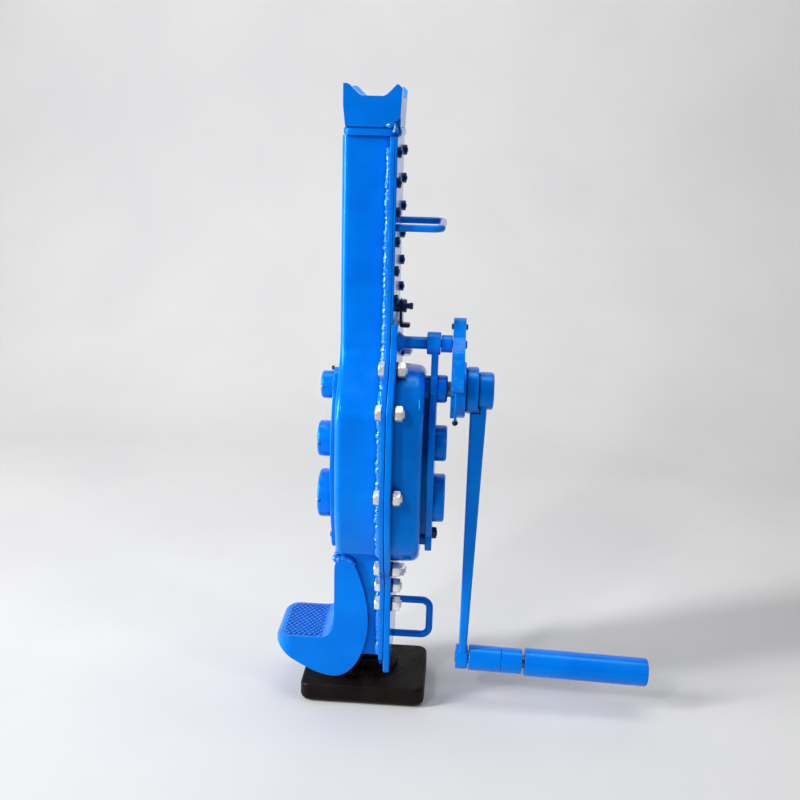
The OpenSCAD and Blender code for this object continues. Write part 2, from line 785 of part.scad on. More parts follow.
module second_shaft() {
  color(STEEL) cyl_x(web_x - plate_t - 6, right_plate_x[1] + 5, shaft_r[1], shaft_y, shaft_2_z);
}

module second_gear() {
  color(STEEL) translate([0, 0, shaft_2_z])
    gear_disc(second_gear_x, gear_2_n, mod_1, 180 / gear_2_n, shaft_r[1]);
}

module second_pinion() {
  color(STEEL) translate([0, 0, shaft_2_z]) gear_disc(second_pinion_x, pinion_n, mod_2, 0, shaft_r[1]);
}

module third_shaft() {
  color(STEEL) cyl_x(web_x - plate_t - 6, right_plate_x[1] + 5, shaft_r[2], shaft_y, shaft_3_z);
}

module third_gear() {
  color(STEEL) translate([0, 0, shaft_3_z])
    gear_disc(third_gear_x, gear_3_n, mod_2, 90 + 180 / gear_3_n, shaft_r[2]);
}

module drive_pinion() {
  color(STEEL) translate([0, 0, shaft_3_z]) gear_disc(drive_pinion_x, drive_n, mod_3, 0, shaft_r[2]);
}

base_plate();
rack();
foot_collar();
foot_screw();
channel_body();
body_flange();
upper_cover();
gear_cover();
left_bearing_plate();
right_bearing_plate();
crank_cap_left();
second_cap_left();
third_cap_left();
crank_boss();
second_boss();
third_boss();
shaft_bushes();
plate_bolts();
left_plate_screws();
rack_guides();
head_collar();
head();
claw();
upper_handle();
lower_handle();
flange_bolts();
flange_washers();
flange_nuts();
cover_bolts();
cover_nuts();
stop_screw();
latch_hook();
stay_pin();
pawl_bush();
pawl_lever();
pawl_screw();
pawl_knob();
crank_shaft();
crank_pinion();
ratchet_wheel();
brake_disc();
crank_hub();
crank_arm();
grip_spindle();
grip_fixed_tube();
grip_ring();
grip_sleeve();
second_shaft();
second_gear();
second_pinion();
third_shaft();
third_gear();
drive_pinion();
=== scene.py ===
import json
from math import acos, asin, atan2, cos, degrees, hypot, pi, radians, sin

import bpy
from mathutils import Matrix, Vector, noise

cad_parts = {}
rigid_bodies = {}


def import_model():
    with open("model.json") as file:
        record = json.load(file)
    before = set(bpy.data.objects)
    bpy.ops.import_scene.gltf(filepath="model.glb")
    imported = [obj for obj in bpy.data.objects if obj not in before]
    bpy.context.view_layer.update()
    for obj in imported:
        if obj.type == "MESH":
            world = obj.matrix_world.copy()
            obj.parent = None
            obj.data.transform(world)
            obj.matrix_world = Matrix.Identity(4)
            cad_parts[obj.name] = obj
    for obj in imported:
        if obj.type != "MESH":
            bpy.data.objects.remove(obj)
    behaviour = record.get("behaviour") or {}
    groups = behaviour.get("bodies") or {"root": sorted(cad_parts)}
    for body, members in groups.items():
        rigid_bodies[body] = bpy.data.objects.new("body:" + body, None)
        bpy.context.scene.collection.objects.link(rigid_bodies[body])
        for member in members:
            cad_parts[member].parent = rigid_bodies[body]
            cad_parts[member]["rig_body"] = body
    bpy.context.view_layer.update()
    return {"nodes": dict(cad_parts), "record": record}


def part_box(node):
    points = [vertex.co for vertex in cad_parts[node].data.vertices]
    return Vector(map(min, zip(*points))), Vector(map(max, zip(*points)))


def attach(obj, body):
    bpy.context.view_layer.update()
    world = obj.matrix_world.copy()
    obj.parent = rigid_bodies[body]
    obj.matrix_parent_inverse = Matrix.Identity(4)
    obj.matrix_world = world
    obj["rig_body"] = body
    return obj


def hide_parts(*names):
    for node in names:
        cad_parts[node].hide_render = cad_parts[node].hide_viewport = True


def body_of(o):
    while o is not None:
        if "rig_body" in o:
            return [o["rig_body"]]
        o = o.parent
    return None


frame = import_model()
mm = 0.001

# ---- Foot plate ---------------------------------------------------------------------------
# A cast iron plate that the jack stands on. It is cast with drafted, rounded sides and
# brushed with black lacquer, which rubs brown along the edges.


def span(node):
    """Lowest and highest corner of a node, in millimetres."""
    low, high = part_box(node)
    return low / mm, high / mm


def rounded_oblong(a0, a1, b0, b1, radius, steps=8):
    """Outline of an oblong with round corners."""
    corners = [(a1, b1, 0), (a0, b1, 90), (a0, b0, 180), (a1, b0, 270)]
    outline = []
    for a, b, start in corners:
        ca = a - radius if a == a1 else a + radius
        cb = b - radius if b == b1 else b + radius
        for i in range(steps + 1):
            turn = radians(start + 90 * i / steps)
            outline.append((ca + radius * cos(turn), cb + radius * sin(turn)))
    return outline


def layered(name, rings, along="X"):
    """A solid pulled up ring by ring: each ring is its place along the axis and its outline."""
    order = {"X": (2, 0, 1), "Y": (0, 2, 1), "Z": (0, 1, 2)}[along]

    def at(place, point):
        values = (point[0], point[1], place)
        return Vector([values[i] for i in order]) * mm

    bpy.ops.object.select_all(action="DESELECT")
    bpy.ops.mesh.primitive_circle_add(vertices=len(rings[0][1]), fill_type="NGON")
    piece = bpy.context.object
    piece.name = piece.data.name = name
    bpy.ops.object.mode_set(mode="EDIT")
    bpy.ops.mesh.select_mode(type="FACE")
    bpy.ops.mesh.select_all(action="SELECT")
    bpy.ops.object.mode_set(mode="OBJECT")
    for corner, point in zip(piece.data.vertices, rings[0][1]):
        corner.co = at(rings[0][0], point)
    last = rings[0]
    for ring in rings[1:]:
        bpy.ops.object.mode_set(mode="EDIT")
        bpy.ops.mesh.extrude_region_move()
        bpy.ops.object.mode_set(mode="OBJECT")
        index = {tuple(round(c, 7) for c in at(last[0], p)): i for i, p in enumerate(last[1])}
        for corner in piece.data.vertices:
            if corner.select:
                corner.co = at(ring[0], ring[1][index[tuple(round(c, 7) for c in corner.co)]])
        last = ring
    bpy.ops.object.mode_set(mode="EDIT")
    bpy.ops.mesh.select_all(action="SELECT")
    bpy.ops.mesh.normals_make_consistent(inside=False)
    bpy.ops.object.mode_set(mode="OBJECT")
    return piece


def choose(piece):
    """Makes a piece the only selected one."""
    bpy.ops.object.select_all(action="DESELECT")
    piece.select_set(True)
    bpy.context.view_layer.objects.active = piece


def apply_to(piece, kind, **settings):
    """Adds a modifier with these settings and applies it."""
    step = piece.modifiers.new(kind.lower(), kind)
    for key, value in settings.items():
        setattr(step, key, value)
    choose(piece)
    bpy.ops.object.modifier_apply(modifier=step.name)
    return piece


def polish(piece, angle=32):
    """Shades the round faces smooth and keeps the flat ones flat."""
    choose(piece)
    bpy.ops.object.shade_smooth_by_angle(angle=radians(angle))
    return apply_to(piece, "WEIGHTED_NORMAL", keep_sharp=True, weight=60)


def refinish(piece, finish):
    """Gives a piece one finish all over."""
    piece.data.materials.clear()
    piece.data.materials.append(finish)


def fit(piece, finish, *nodes):
    """Puts a made piece in the place of its nodes, on their body and in their finish."""
    if finish:
        refinish(piece, finish)
    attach(piece, body_of(frame["nodes"][nodes[0]])[0])
    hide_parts(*nodes)
    return piece


def blank_material(name, **sockets):
    """A material with its plain values set on the shader, and its nodes, links and shader."""
    finish = bpy.data.materials.new(name)
    finish.use_nodes = True
    tree = finish.node_tree
    shader = tree.nodes["Principled BSDF"]
    for socket, value in sockets.items():
        shader.inputs[socket.replace("_", " ")].default_value = value
    return finish, tree, shader


def new_group(name, inputs, outputs):
    """An empty node group with named sockets."""
    group = bpy.data.node_groups.new(name, "ShaderNodeTree")
    for label, kind in inputs:
        group.interface.new_socket(label, in_out="INPUT", socket_type=kind)
    for label, kind in outputs:
        group.interface.new_socket(label, in_out="OUTPUT", socket_type=kind)
    return group, group.nodes.new("NodeGroupInput"), group.nodes.new("NodeGroupOutput")


def mixed(tree, factor, first, second):
    """Mixes two colours; each may be a socket or a colour."""
    node = tree.nodes.new("ShaderNodeMix")
    node.data_type = "RGBA"
    for socket, value in ((node.inputs[0], factor), (node.inputs[6], first), (node.inputs[7], second)):
        if isinstance(value, bpy.types.NodeSocket):
            tree.links.new(value, socket)
        else:
            socket.default_value = value
    return node.outputs[2]


def maths(tree, operation, first, second=0.0):
    """One sum on two values; each may be a socket or a number."""
    node = tree.nodes.new("ShaderNodeMath")
    node.operation = operation
    for socket, value in zip(node.inputs, (first, second)):
        if isinstance(value, bpy.types.NodeSocket):
            tree.links.new(value, socket)
        else:
            socket.default_value = value
    return node.outputs[0]


def ramp(tree, value, low, high, to_low=0.0, to_high=1.0):
    """Maps a value's range to another range, with its ends held."""
    node = tree.nodes.new("ShaderNodeMapRange")
    node.interpolation_type = "SMOOTHSTEP"
    for socket, number in zip(node.inputs[1:5], (low, high, to_low, to_high)):
        socket.default_value = number
    tree.links.new(value, node.inputs[0])
    return node.outputs[0]


def speckle(tree, scale, detail=4.0, roughness=0.55):
    """Noise on object coordinates; the scale may be a socket or a number."""
    place = tree.nodes.new("ShaderNodeTexCoord")
    node = tree.nodes.new("ShaderNodeTexNoise")
    node.inputs["Detail"].default_value = detail
    node.inputs["Roughness"].default_value = roughness
    tree.links.new(place.outputs["Object"], node.inputs["Vector"])
    if isinstance(scale, bpy.types.NodeSocket):
        tree.links.new(scale, node.inputs["Scale"])
    else:
        node.inputs["Scale"].default_value = scale
    return node.outputs["Fac"]


def edge_wear_and_highlight_group():
    """Mask of the convex edges, broken up by noise: where a coat is rubbed, and in the blue enamel also a
    painted edge highlight.
    """
    group, start, end = new_group(
        "edge_wear_and_highlight", [("Amount", "NodeSocketFloat")], [("Mask", "NodeSocketFloat")])
    shape = group.nodes.new("ShaderNodeNewGeometry")
    edge = ramp(group, shape.outputs["Pointiness"], 0.55, 0.65)
    broken = ramp(group, speckle(group, 160.0, 6.0, 0.7), 0.46, 0.62)
    mask = maths(group, "MULTIPLY", edge, broken)
    mask = maths(group, "MULTIPLY", mask, start.outputs["Amount"])
    group.links.new(mask, end.inputs["Mask"])
    return group


def mottle_group():
    """Slow change of shade over a surface, and fine grain for its height."""
    group, start, end = new_group(
        "mottle",
        [("Patch Scale", "NodeSocketFloat"), ("Grain Scale", "NodeSocketFloat")],
        [("Patches", "NodeSocketFloat"), ("Grain", "NodeSocketFloat")])
    patches = ramp(group, speckle(group, start.outputs["Patch Scale"], 5.0), 0.3, 0.7)
    grain = speckle(group, start.outputs["Grain Scale"], 3.0)
    group.links.new(patches, end.inputs["Patches"])
    group.links.new(grain, end.inputs["Grain"])
    return group


def settled_dust_group():
    """Mask of thin dust on the faces that look up."""
    group, start, end = new_group(
        "settled_dust", [("Amount", "NodeSocketFloat")], [("Mask", "NodeSocketFloat")])
    shape = group.nodes.new("ShaderNodeNewGeometry")
    parts = group.nodes.new("ShaderNodeSeparateXYZ")
    group.links.new(shape.outputs["Normal"], parts.inputs[0])
    up = ramp(group, parts.outputs["Z"], 0.45, 0.95)
    mask = maths(group, "MULTIPLY", up, ramp(group, speckle(group, 55.0, 8.0, 0.7), 0.35, 0.75))
    mask = maths(group, "MULTIPLY", mask, start.outputs["Amount"])
    group.links.new(mask, end.inputs["Mask"])
    return group


edge_wear_and_highlight = edge_wear_and_highlight_group()
mottle = mottle_group()
settled_dust = settled_dust_group()


def placed_group(tree, group, **values):
    """A group in a material, with its own values."""
    node = tree.nodes.new("ShaderNodeGroup")
    node.node_tree = group
    for socket, value in values.items():
        node.inputs[socket.replace("_", " ")].default_value = value
    return node.outputs


def raised(tree, shader, height, strength, distance):
    """Feeds a height through a bump into the shader's normal."""
    node = tree.nodes.new("ShaderNodeBump")
    node.inputs["Strength"].default_value = strength
    node.inputs["Distance"].default_value = distance
    tree.links.new(height, node.inputs["Height"])
    tree.links.new(node.outputs["Normal"], shader.inputs["Normal"])


def black_lacquer():
    """Black lacquer on cast iron: coarse skin, brown where it is rubbed, dusty on top."""
    finish, tree, shader = blank_material("black_lacquer", Specular_IOR_Level=0.1)
    skin = placed_group(tree, mottle, Patch_Scale=28.0, Grain_Scale=420.0)
    wear = placed_group(tree, edge_wear_and_highlight, Amount=0.55)["Mask"]
    dust = placed_group(tree, settled_dust, Amount=0.05)["Mask"]
    colour = mixed(tree, skin["Patches"], (0.0034, 0.0022, 0.002, 1), (0.0095, 0.0058, 0.0048, 1))
    colour = mixed(tree, wear, colour, (0.11, 0.085, 0.065, 1))
    colour = mixed(tree, dust, colour, (0.16, 0.13, 0.11, 1))
    tree.links.new(colour, shader.inputs["Base Color"])
    rough = maths(tree, "ADD", maths(tree, "MULTIPLY", skin["Patches"], 0.2), 0.34)
    rough = maths(tree, "ADD", rough, maths(tree, "MULTIPLY", dust, 0.3))
    tree.links.new(rough, shader.inputs["Roughness"])
    coarse = maths(tree, "MULTIPLY", speckle(tree, 130.0, 4.0), 1.6)
    raised(tree, shader, maths(tree, "ADD", skin["Grain"], coarse), 0.55, 0.0007)
    return finish


slot_of = {part["node"]: part["material_slot"] for part in frame["record"]["subparts"]}
lacquer = black_lacquer()
foot_low, foot_high = span("base_plate")


def foot_outline(inset):
    """Outline of the plate, shrunk by the inset."""
    return rounded_oblong(foot_low.x + inset, foot_high.x - inset,
                          foot_low.y + inset, foot_high.y - inset, 12 - inset * 0.6)


foot = layered("base_plate_cast", [
    (height, foot_outline(inset))
    for height, inset in [(0, 8), (1.2, 5), (3.2, 2.4), (6, 0.8), (9, 0.1), (22, 0.4), (24, 0.9),
                          (25.3, 2), (26, 3.8)]
], "Z")
fit(polish(foot, 50), lacquer, "base_plate")

# ---- Foot collar --------------------------------------------------------------------------
# A turned iron collar round the rack's foot, welded to the plate and lacquered with it.
# Its side is cut flat where the claw comes down.


def turned(name, profile, y=0.0, z=0.0, along="X", steps=64):
    """A round piece spun from (place along the axis, radius) points about an axis."""
    bpy.ops.object.select_all(action="DESELECT")
    bpy.ops.mesh.primitive_circle_add(vertices=len(profile), fill_type="NOTHING")
    piece = bpy.context.object
    piece.name = piece.data.name = name
    for corner, (place, radius) in zip(piece.data.vertices, profile):
        on_x = Vector((place, y, z + radius))
        on_z = Vector((y + radius, z, place))
        corner.co = (on_x if along == "X" else on_z) * mm
    centre = Vector((0, y, z)) if along == "X" else Vector((y, z, 0))
    axis = (1, 0, 0) if along == "X" else (0, 0, 1)
    bpy.ops.object.mode_set(mode="EDIT")
    bpy.ops.mesh.select_mode(type="VERT")
    bpy.ops.mesh.select_all(action="SELECT")
    bpy.ops.mesh.spin(steps=steps, angle=2 * pi, center=centre * mm, axis=axis)
    bpy.ops.mesh.select_all(action="SELECT")
    bpy.ops.mesh.remove_doubles(threshold=0.000002)
    bpy.ops.mesh.select_all(action="DESELECT")
    bpy.ops.mesh.select_non_manifold(extend=False, use_wire=True, use_boundary=False,
                                     use_multi_face=False, use_non_contiguous=False, use_verts=False)
    bpy.ops.mesh.delete(type="EDGE")
    bpy.ops.mesh.select_all(action="SELECT")
    bpy.ops.mesh.normals_make_consistent(inside=False)
    bpy.ops.object.mode_set(mode="OBJECT")
    return piece


def trimmed(piece, tool, keep="DIFFERENCE"):
    """Cuts a piece with a tool, or keeps only what is inside it, and removes the tool."""
    apply_to(piece, "BOOLEAN", operation=keep, object=tool, solver="EXACT")
    bpy.data.objects.remove(tool)
    return piece


collar_low, collar_high = span("foot_collar")
collar_y = (collar_low.y + collar_high.y) / 2
plate_top = foot_high.z
collar = turned("foot_collar_turned", [
    (plate_top, 0), (plate_top, 40), (plate_top + 5, 40), (plate_top + 6.2, 39.4), (plate_top + 6.7, 38),
    (plate_top + 6.7, 29.6), (plate_top + 7.4, 28.3), (plate_top + 9, 28), (plate_top + 16, 28),
    (plate_top + 17.3, 27.3), (plate_top + 18, 25.6), (plate_top + 18, 0)
], 0, collar_y, "Z")
beyond = layered("beyond", [
    (-60, [(-60, plate_top - 5), (collar_low.x, plate_top - 5), (collar_low.x, 60), (-60, 60)]),
    (60, [(-60, plate_top - 5), (collar_low.x, plate_top - 5), (collar_low.x, 60), (-60, 60)])], "Y")
trimmed(collar, beyond)
rack_low, rack_high = span("rack")
slot_tool = layered("slot_tool", [
    (plate_top - 5, rounded_oblong(rack_low.x, rack_high.x, rack_low.y, rack_high.y, 0.5, 2)),
    (60, rounded_oblong(rack_low.x, rack_high.x, rack_low.y, rack_high.y, 0.5, 2))], "Z")
trimmed(collar, slot_tool)
fit(polish(collar), lacquer, "foot_collar")

# ---- Rack, shafts and gears ---------------------------------------------------------------
# Hardened steel, cut and ground, with a film of oil. The rack shows below the channel when
# the jack is raised, and the gears run inside the covers.


def oiled_steel():
    """Ground steel under oil: grey, with faint lines across the cut and darker oily patches."""
    finish, tree, shader = blank_material("oiled_steel", Metallic=1.0)
    skin = placed_group(tree, mottle, Patch_Scale=35.0, Grain_Scale=700.0)
    place = tree.nodes.new("ShaderNodeTexCoord")
    stretch = tree.nodes.new("ShaderNodeMapping")
    stretch.inputs["Scale"].default_value = (30, 30, 1400)
    lines = tree.nodes.new("ShaderNodeTexNoise")
    tree.links.new(place.outputs["Object"], stretch.inputs["Vector"])
    tree.links.new(stretch.outputs["Vector"], lines.inputs["Vector"])
    lines.inputs["Scale"].default_value = 1.0
    colour = mixed(tree, skin["Patches"], (0.10, 0.10, 0.10, 1), (0.22, 0.22, 0.23, 1))
    tree.links.new(colour, shader.inputs["Base Color"])
    rough = maths(tree, "ADD", maths(tree, "MULTIPLY", skin["Patches"], 0.16), 0.26)
    tree.links.new(rough, shader.inputs["Roughness"])
    raised(tree, shader, maths(tree, "ADD", lines.outputs["Fac"], skin["Grain"]), 0.25, 0.0002)
    return finish


steel = oiled_steel()
for name in slot_of:
    if slot_of[name] == "gear_steel":
        refinish(frame["nodes"][name], steel)

# ---- Bushes and rack guides ---------------------------------------------------------------
# Cast bronze, bored and faced, with small pores and darker skin where it isn't machined.


def cast_bronze():
    """Bronze with a dull, slightly pitted skin."""
    finish, tree, shader = blank_material("cast_bronze", Metallic=1.0)
    skin = placed_group(tree, mottle, Patch_Scale=60.0, Grain_Scale=900.0)
    colour = mixed(tree, skin["Patches"], (0.33, 0.19, 0.06, 1), (0.52, 0.33, 0.12, 1))
    tree.links.new(colour, shader.inputs["Base Color"])
    tree.links.new(maths(tree, "ADD", maths(tree, "MULTIPLY", skin["Grain"], 0.3), 0.25),
                   shader.inputs["Roughness"])
    raised(tree, shader, skin["Grain"], 0.3, 0.0002)
    return finish


bronze = cast_bronze()
for name in slot_of:
    if slot_of[name] == "bronze":
        refinish(frame["nodes"][name], bronze)

# ---- Channel ------------------------------------------------------------------------------
# The jack's body: steel sheet pressed into a channel, with a belly in front for the gears,
# sprayed with glossy blue enamel over everything that is bolted to it later.


def painted_crease_shade_group():
    """Mask of painted shade in the inner corners and crevices, from concave edges and ambient occlusion."""
    group, start, end = new_group(
        "painted_crease_shade", [("Amount", "NodeSocketFloat")], [("Mask", "NodeSocketFloat")])
    shape = group.nodes.new("ShaderNodeNewGeometry")
    mask = ramp(group, shape.outputs["Pointiness"], 0.38, 0.485, 1.0, 0.0)
    shelter = group.nodes.new("ShaderNodeAmbientOcclusion")
    shelter.samples = 6
    shelter.inputs["Distance"].default_value = 0.007
    mask = maths(group, "MAXIMUM", mask, ramp(group, shelter.outputs["AO"], 0.42, 0.9, 1.0, 0.0))
    mask = maths(group, "MULTIPLY", mask, start.outputs["Amount"])
    group.links.new(mask, end.inputs["Mask"])
    return group


painted_crease_shade = painted_crease_shade_group()


def blue_enamel(name, wave, peel, gloss=0.09, coat=0.03, depth=1.0):
    """Glossy blue enamel: a little uneven, with peel, lighter chips on edges that are partly a painted edge
    highlight, painted shade in the creases, and thin dust on top.
    """
    finish, tree, shader = blank_material(name, Specular_IOR_Level=0.8, Coat_Weight=coat,
                                          Specular_Tint=(0.025, 0.5, 0.95, 1.0), Coat_Roughness=0.05)
    skin = placed_group(tree, mottle, Patch_Scale=14.0, Grain_Scale=620.0)
    wear = placed_group(tree, edge_wear_and_highlight, Amount=0.32)["Mask"]
    dust = placed_group(tree, settled_dust, Amount=0.035)["Mask"]
    crease = placed_group(tree, painted_crease_shade, Amount=0.75)["Mask"]
    colour = mixed(tree, skin["Patches"], (0.0004, 0.15 * depth, 0.7 * depth, 1),
                   (0.0006, 0.195 * depth, 0.8 * depth, 1))
    # Painted shade: concave and sheltered places darken to deep navy.
    colour = mixed(tree, crease, colour, (0.0, 0.03, 0.19, 1))
    # Lighter blue on the convex edges: partly worn paint, partly a painted edge highlight.
    colour = mixed(tree, wear, colour, (0.03, 0.36, 0.95, 1))
    colour = mixed(tree, dust, colour, (0.35, 0.48, 0.62, 1))
    tree.links.new(colour, shader.inputs["Base Color"])
    rough = maths(tree, "ADD", maths(tree, "MULTIPLY", skin["Grain"], 0.12), gloss)
    rough = maths(tree, "ADD", rough, maths(tree, "MULTIPLY", dust, 0.35))
    tree.links.new(rough, shader.inputs["Roughness"])
    slow = maths(tree, "MULTIPLY", speckle(tree, 26.0, 2.0, 0.4), wave)
    fine = maths(tree, "MULTIPLY", skin["Grain"], peel)
    raised(tree, shader, maths(tree, "ADD", slow, fine), 1.0, 0.001)
    return finish


sheet_enamel = blue_enamel("sheet_enamel", 0.9, 0.05)
forged_enamel = blue_enamel("forged_enamel", 0.8, 0.12, 0.12)
turned_enamel = blue_enamel("turned_enamel", 0.15, 0.04)
weld_enamel = blue_enamel("weld_enamel", 0.3, 0.03, 0.06, 1.0)

channel_low, channel_high = span("channel_body")
flange_low, flange_high = span("body_flange")
tube_half = 38.0
wall = 3.5
web_x = channel_low.x
mouth_x = channel_high.x
belly_reach = -channel_low.y
belly_top, belly_full_top, belly_full_low, belly_foot = 452.0, 372.0, 300.0, 203.0
foot_reach = 60.0


def eased(t):
    """A share from 0 to 1 that starts and stops gently."""
    u = min(1.0, max(0.0, t))
    return u * u * (3 - 2 * u)


def front_reach(z):
    """How far the channel's front wall stands from the middle, at a height."""
    if z > belly_full_top:
        share = eased((z - belly_full_top) / (belly_top - belly_full_top))
        return belly_reach + (tube_half - belly_reach) * share
    drop = min(1.0, max(0.0, (belly_full_low - z) / (belly_full_low - belly_foot)))
    curve = belly_reach + (foot_reach - belly_reach) * drop * drop
    return tube_half + (curve - tube_half) * eased((z - belly_foot + 1.2) / 3.6)


def sharpest_corner(piece, face):
    """Angle of the sharpest corner of a face, where a frame would run out in a spike."""
    corners = [piece.data.vertices[i].co for i in face.vertices]
    folds = []
    for i, corner in enumerate(corners):
        before = corners[i - 1] - corner
        after = corners[(i + 1) % len(corners)] - corner
        folds.append(before.angle(after, 0.0))
    return min(folds)


def framed(piece, area=80.0, margin=0.5):
    """Gives the large flat faces a thin frame, so that shading and wear stay at their edges."""
    choose(piece)
    bpy.ops.object.mode_set(mode="EDIT")
    bpy.ops.mesh.select_mode(type="FACE")
    bpy.ops.mesh.select_all(action="DESELECT")
    bpy.ops.object.mode_set(mode="OBJECT")
    for face in piece.data.polygons:
        face.select = face.area > area * mm * mm and sharpest_corner(piece, face) > 0.7
    bpy.ops.object.mode_set(mode="EDIT")
    bpy.ops.mesh.inset(thickness=margin * mm, use_individual=True, use_even_offset=True)
    bpy.ops.object.mode_set(mode="OBJECT")
    return piece


def soften(piece, width, steps=3, angle=38):
    """Rounds the sharp edges of a piece."""
    apply_to(piece, "BEVEL", width=width * mm, segments=steps, limit_method="ANGLE",
             angle_limit=radians(angle), use_clamp_overlap=True)
    return framed(piece)


def laid_sheet(name, columns, rows, place):
    """A grid of faces laid on a surface: place(i, j) gives each point in millimetres."""
    bpy.ops.object.select_all(action="DESELECT")
    bpy.ops.mesh.primitive_grid_add(x_subdivisions=columns - 1, y_subdivisions=rows - 1, size=2)
    piece = bpy.context.object
    piece.name = piece.data.name = name
    for corner in piece.data.vertices:
        i = round((corner.co.x + 1) / 2 * (columns - 1))
        j = round((corner.co.y + 1) / 2 * (rows - 1))
        corner.co = Vector(place(i, j)) * mm
    return piece


def channel_section(reach):
    """Half-open section from the back lip round the web to the front lip."""
    bend = 8.0
    points = [(mouth_x, tube_half), (8, tube_half), (-9, tube_half)]
    for i in range(7):
        turn = radians(90 + 90 * i / 6)
        points.append((web_x + bend + bend * cos(turn), tube_half - bend + bend * sin(turn)))
    for share in (0.25, 0.5, 0.75):
        points.append((web_x, (tube_half - bend) * (1 - share) + (bend - reach) * share))
    for i in range(9):
        turn = radians(180 + 90 * i / 8)
        points.append((web_x + bend + bend * cos(turn), bend - reach + bend * sin(turn)))
    points += [(-12, -reach), (0, -reach), (12, -reach), (mouth_x, -reach)]
    return points


heights = [channel_low.z + (197 - channel_low.z) * i / 22 for i in range(23)]
heights += [200.5 + 0.6 * i for i in range(12)]
heights += [209 + 3.5 * i for i in range(72)]
heights += [464 + 9.68 * i for i in range(23)]
channel = laid_sheet("channel_pressed", len(channel_section(tube_half)), len(heights),
                     lambda i, j: (*channel_section(front_reach(heights[j]))[i], heights[j]))
apply_to(channel, "SOLIDIFY", thickness=wall * mm, offset=-1.0, use_even_offset=True)
soften(channel, 0.7, 2, 60)
fit(polish(channel, 40), sheet_enamel, "channel_body")

# ---- Channel flange -----------------------------------------------------------------------
# A plate as wide as the covers, welded round the channel's mouth, so the covers can bolt on.


def plate(name, outline, along, low, high):
    """A flat plate of one outline."""
    return layered(name, [(low, outline), (high, outline)], along)


def flange_reach(z):
    """How far the flange's front edge stands from the middle, at a height."""
    side = flange_high.y - tube_half
    if z > belly_foot:
        lifted = max(belly_full_low, z - 8) if z > belly_full_low else z
        return front_reach(max(lifted, belly_foot + 3)) + side
    return tube_half + side + (foot_reach - tube_half) * eased((z - 160) / (belly_foot - 160))


def flange_outline(top, foot_cut=14.0):
    """Outline of the flange and of the covers' edge, in the plane across the mouth."""
    back = flange_high.y
    bottom = flange_low.z
    outline = [(back, top), (back, bottom + foot_cut), (back - foot_cut, bottom),
               (foot_cut - back, bottom), (-back, bottom + foot_cut)]
    z = bottom + foot_cut + 12
    while z < top - 4:
        outline.append((-flange_reach(z), z))
        z += 6
    return outline + [(-flange_reach(top), top)]


def mouth_outline(inset):
    """Outline of the channel's mouth, run out past both its ends."""
    outline = [(tube_half - inset, 700), (tube_half - inset, 30), (inset - tube_half, 30)]
    outline += [(inset - front_reach(z), z) for z in heights if 190 < z < 470]
    return outline + [(inset - tube_half, 700)]


flange = plate("flange_plate", flange_outline(flange_high.z), "X", flange_low.x, flange_high.x)
trimmed(flange, plate("mouth_tool", mouth_outline(0.3), "X", flange_low.x - 5, flange_high.x + 5))
soften(flange, 1.0, 3, 50)
polish(flange)


def weld_run(name, route, size):
    """A hand-laid weld along a route: a rope of overlapping puddles with round ends."""
    legs = [(Vector(a), Vector(b)) for a, b in zip(route, route[1:])]
    total = sum((b - a).length for a, b in legs)
    count = int(total / 1.3) + 2

    def place(i, j):
        left = total * j / (count - 1)
        for a, b in legs:
            if left <= (b - a).length or (a, b) == legs[-1]:
                break
            left -= (b - a).length
        middle = a + (b - a).normalized() * left
        ahead = (b - a).normalized()
        level = Vector((0.3, 0.2, 0.93)) if abs(ahead.z) < 0.8 else Vector((1, 0, 0))
        side = ahead.cross(level).normalized()
        turn = 2 * pi * i / 12
        lumps = 0.5 * noise.noise(middle / 4.2) + 0.16 * abs(sin(pi * total * j / (count - 1) / 3.6))
        end = min(1.0, min(j, count - 1 - j) / 3)
        reach = size * (0.92 + lumps) * sin(pi / 2 * end)
        return middle + reach * (side * cos(turn) + ahead.cross(side) * sin(turn))

    run = laid_sheet(name, 13, count, place)
    bpy.ops.object.mode_set(mode="EDIT")
    bpy.ops.mesh.select_all(action="SELECT")
    bpy.ops.mesh.remove_doubles(threshold=0.00001)
    bpy.ops.mesh.normals_make_consistent(inside=False)
    bpy.ops.object.mode_set(mode="OBJECT")
    bpy.ops.object.shade_smooth()
    run.data.materials.append(weld_enamel)
    return run


def joined(name, pieces):
    """Joins pieces into one."""
    bpy.ops.object.select_all(action="DESELECT")
    for piece in pieces:
        piece.select_set(True)
    bpy.context.view_layer.objects.active = pieces[0]
    bpy.ops.object.join()
    pieces[0].name = pieces[0].data.name = name
    return pieces[0]


front_weld = weld_run("front_weld", [(flange_low.x - 0.8, -front_reach(z) - 0.8, z)
                                     for z in heights if z < 676.5], 4.9)
back_weld = weld_run("back_weld", [(flange_low.x - 0.6, tube_half + 0.6, z) for z in (65, 672)], 3.6)
flange.data.materials.append(sheet_enamel)
fit(joined("flange_plate", [flange, front_weld, back_weld]), None, "body_flange")

# ---- Covers -------------------------------------------------------------------------------
# The upper cover is flat plate. The gear cover is a thicker plate with a pressed box on it,
# round at its ends and drafted towards its outer face.

upper_low, upper_high = span("upper_cover")
upper = plate("upper_cover_plate", [
    (upper_low.y, upper_low.z), (upper_high.y, upper_low.z),
    (upper_high.y, upper_high.z), (upper_low.y, upper_high.z)], "X", upper_low.x, upper_high.x)
fit(polish(soften(upper, 0.8, 2)), sheet_enamel, "upper_cover")

cover_low, cover_high = span("gear_cover")
box_face = 65.0
box_low, box_high = 190.0, 426.0
edge_face = 33.0
crank_plate_x = (70.5, 78.5)
shaft_y = (span("second_gear")[0].y + span("second_gear")[1].y) / 2


def box_outline(inset):
    """Outline of the gear box, round at its ends."""
    half = belly_reach + shaft_y - inset
    return rounded_oblong(shaft_y - half, shaft_y + half, box_low + inset, box_high - inset,
                          52 - inset, 16)


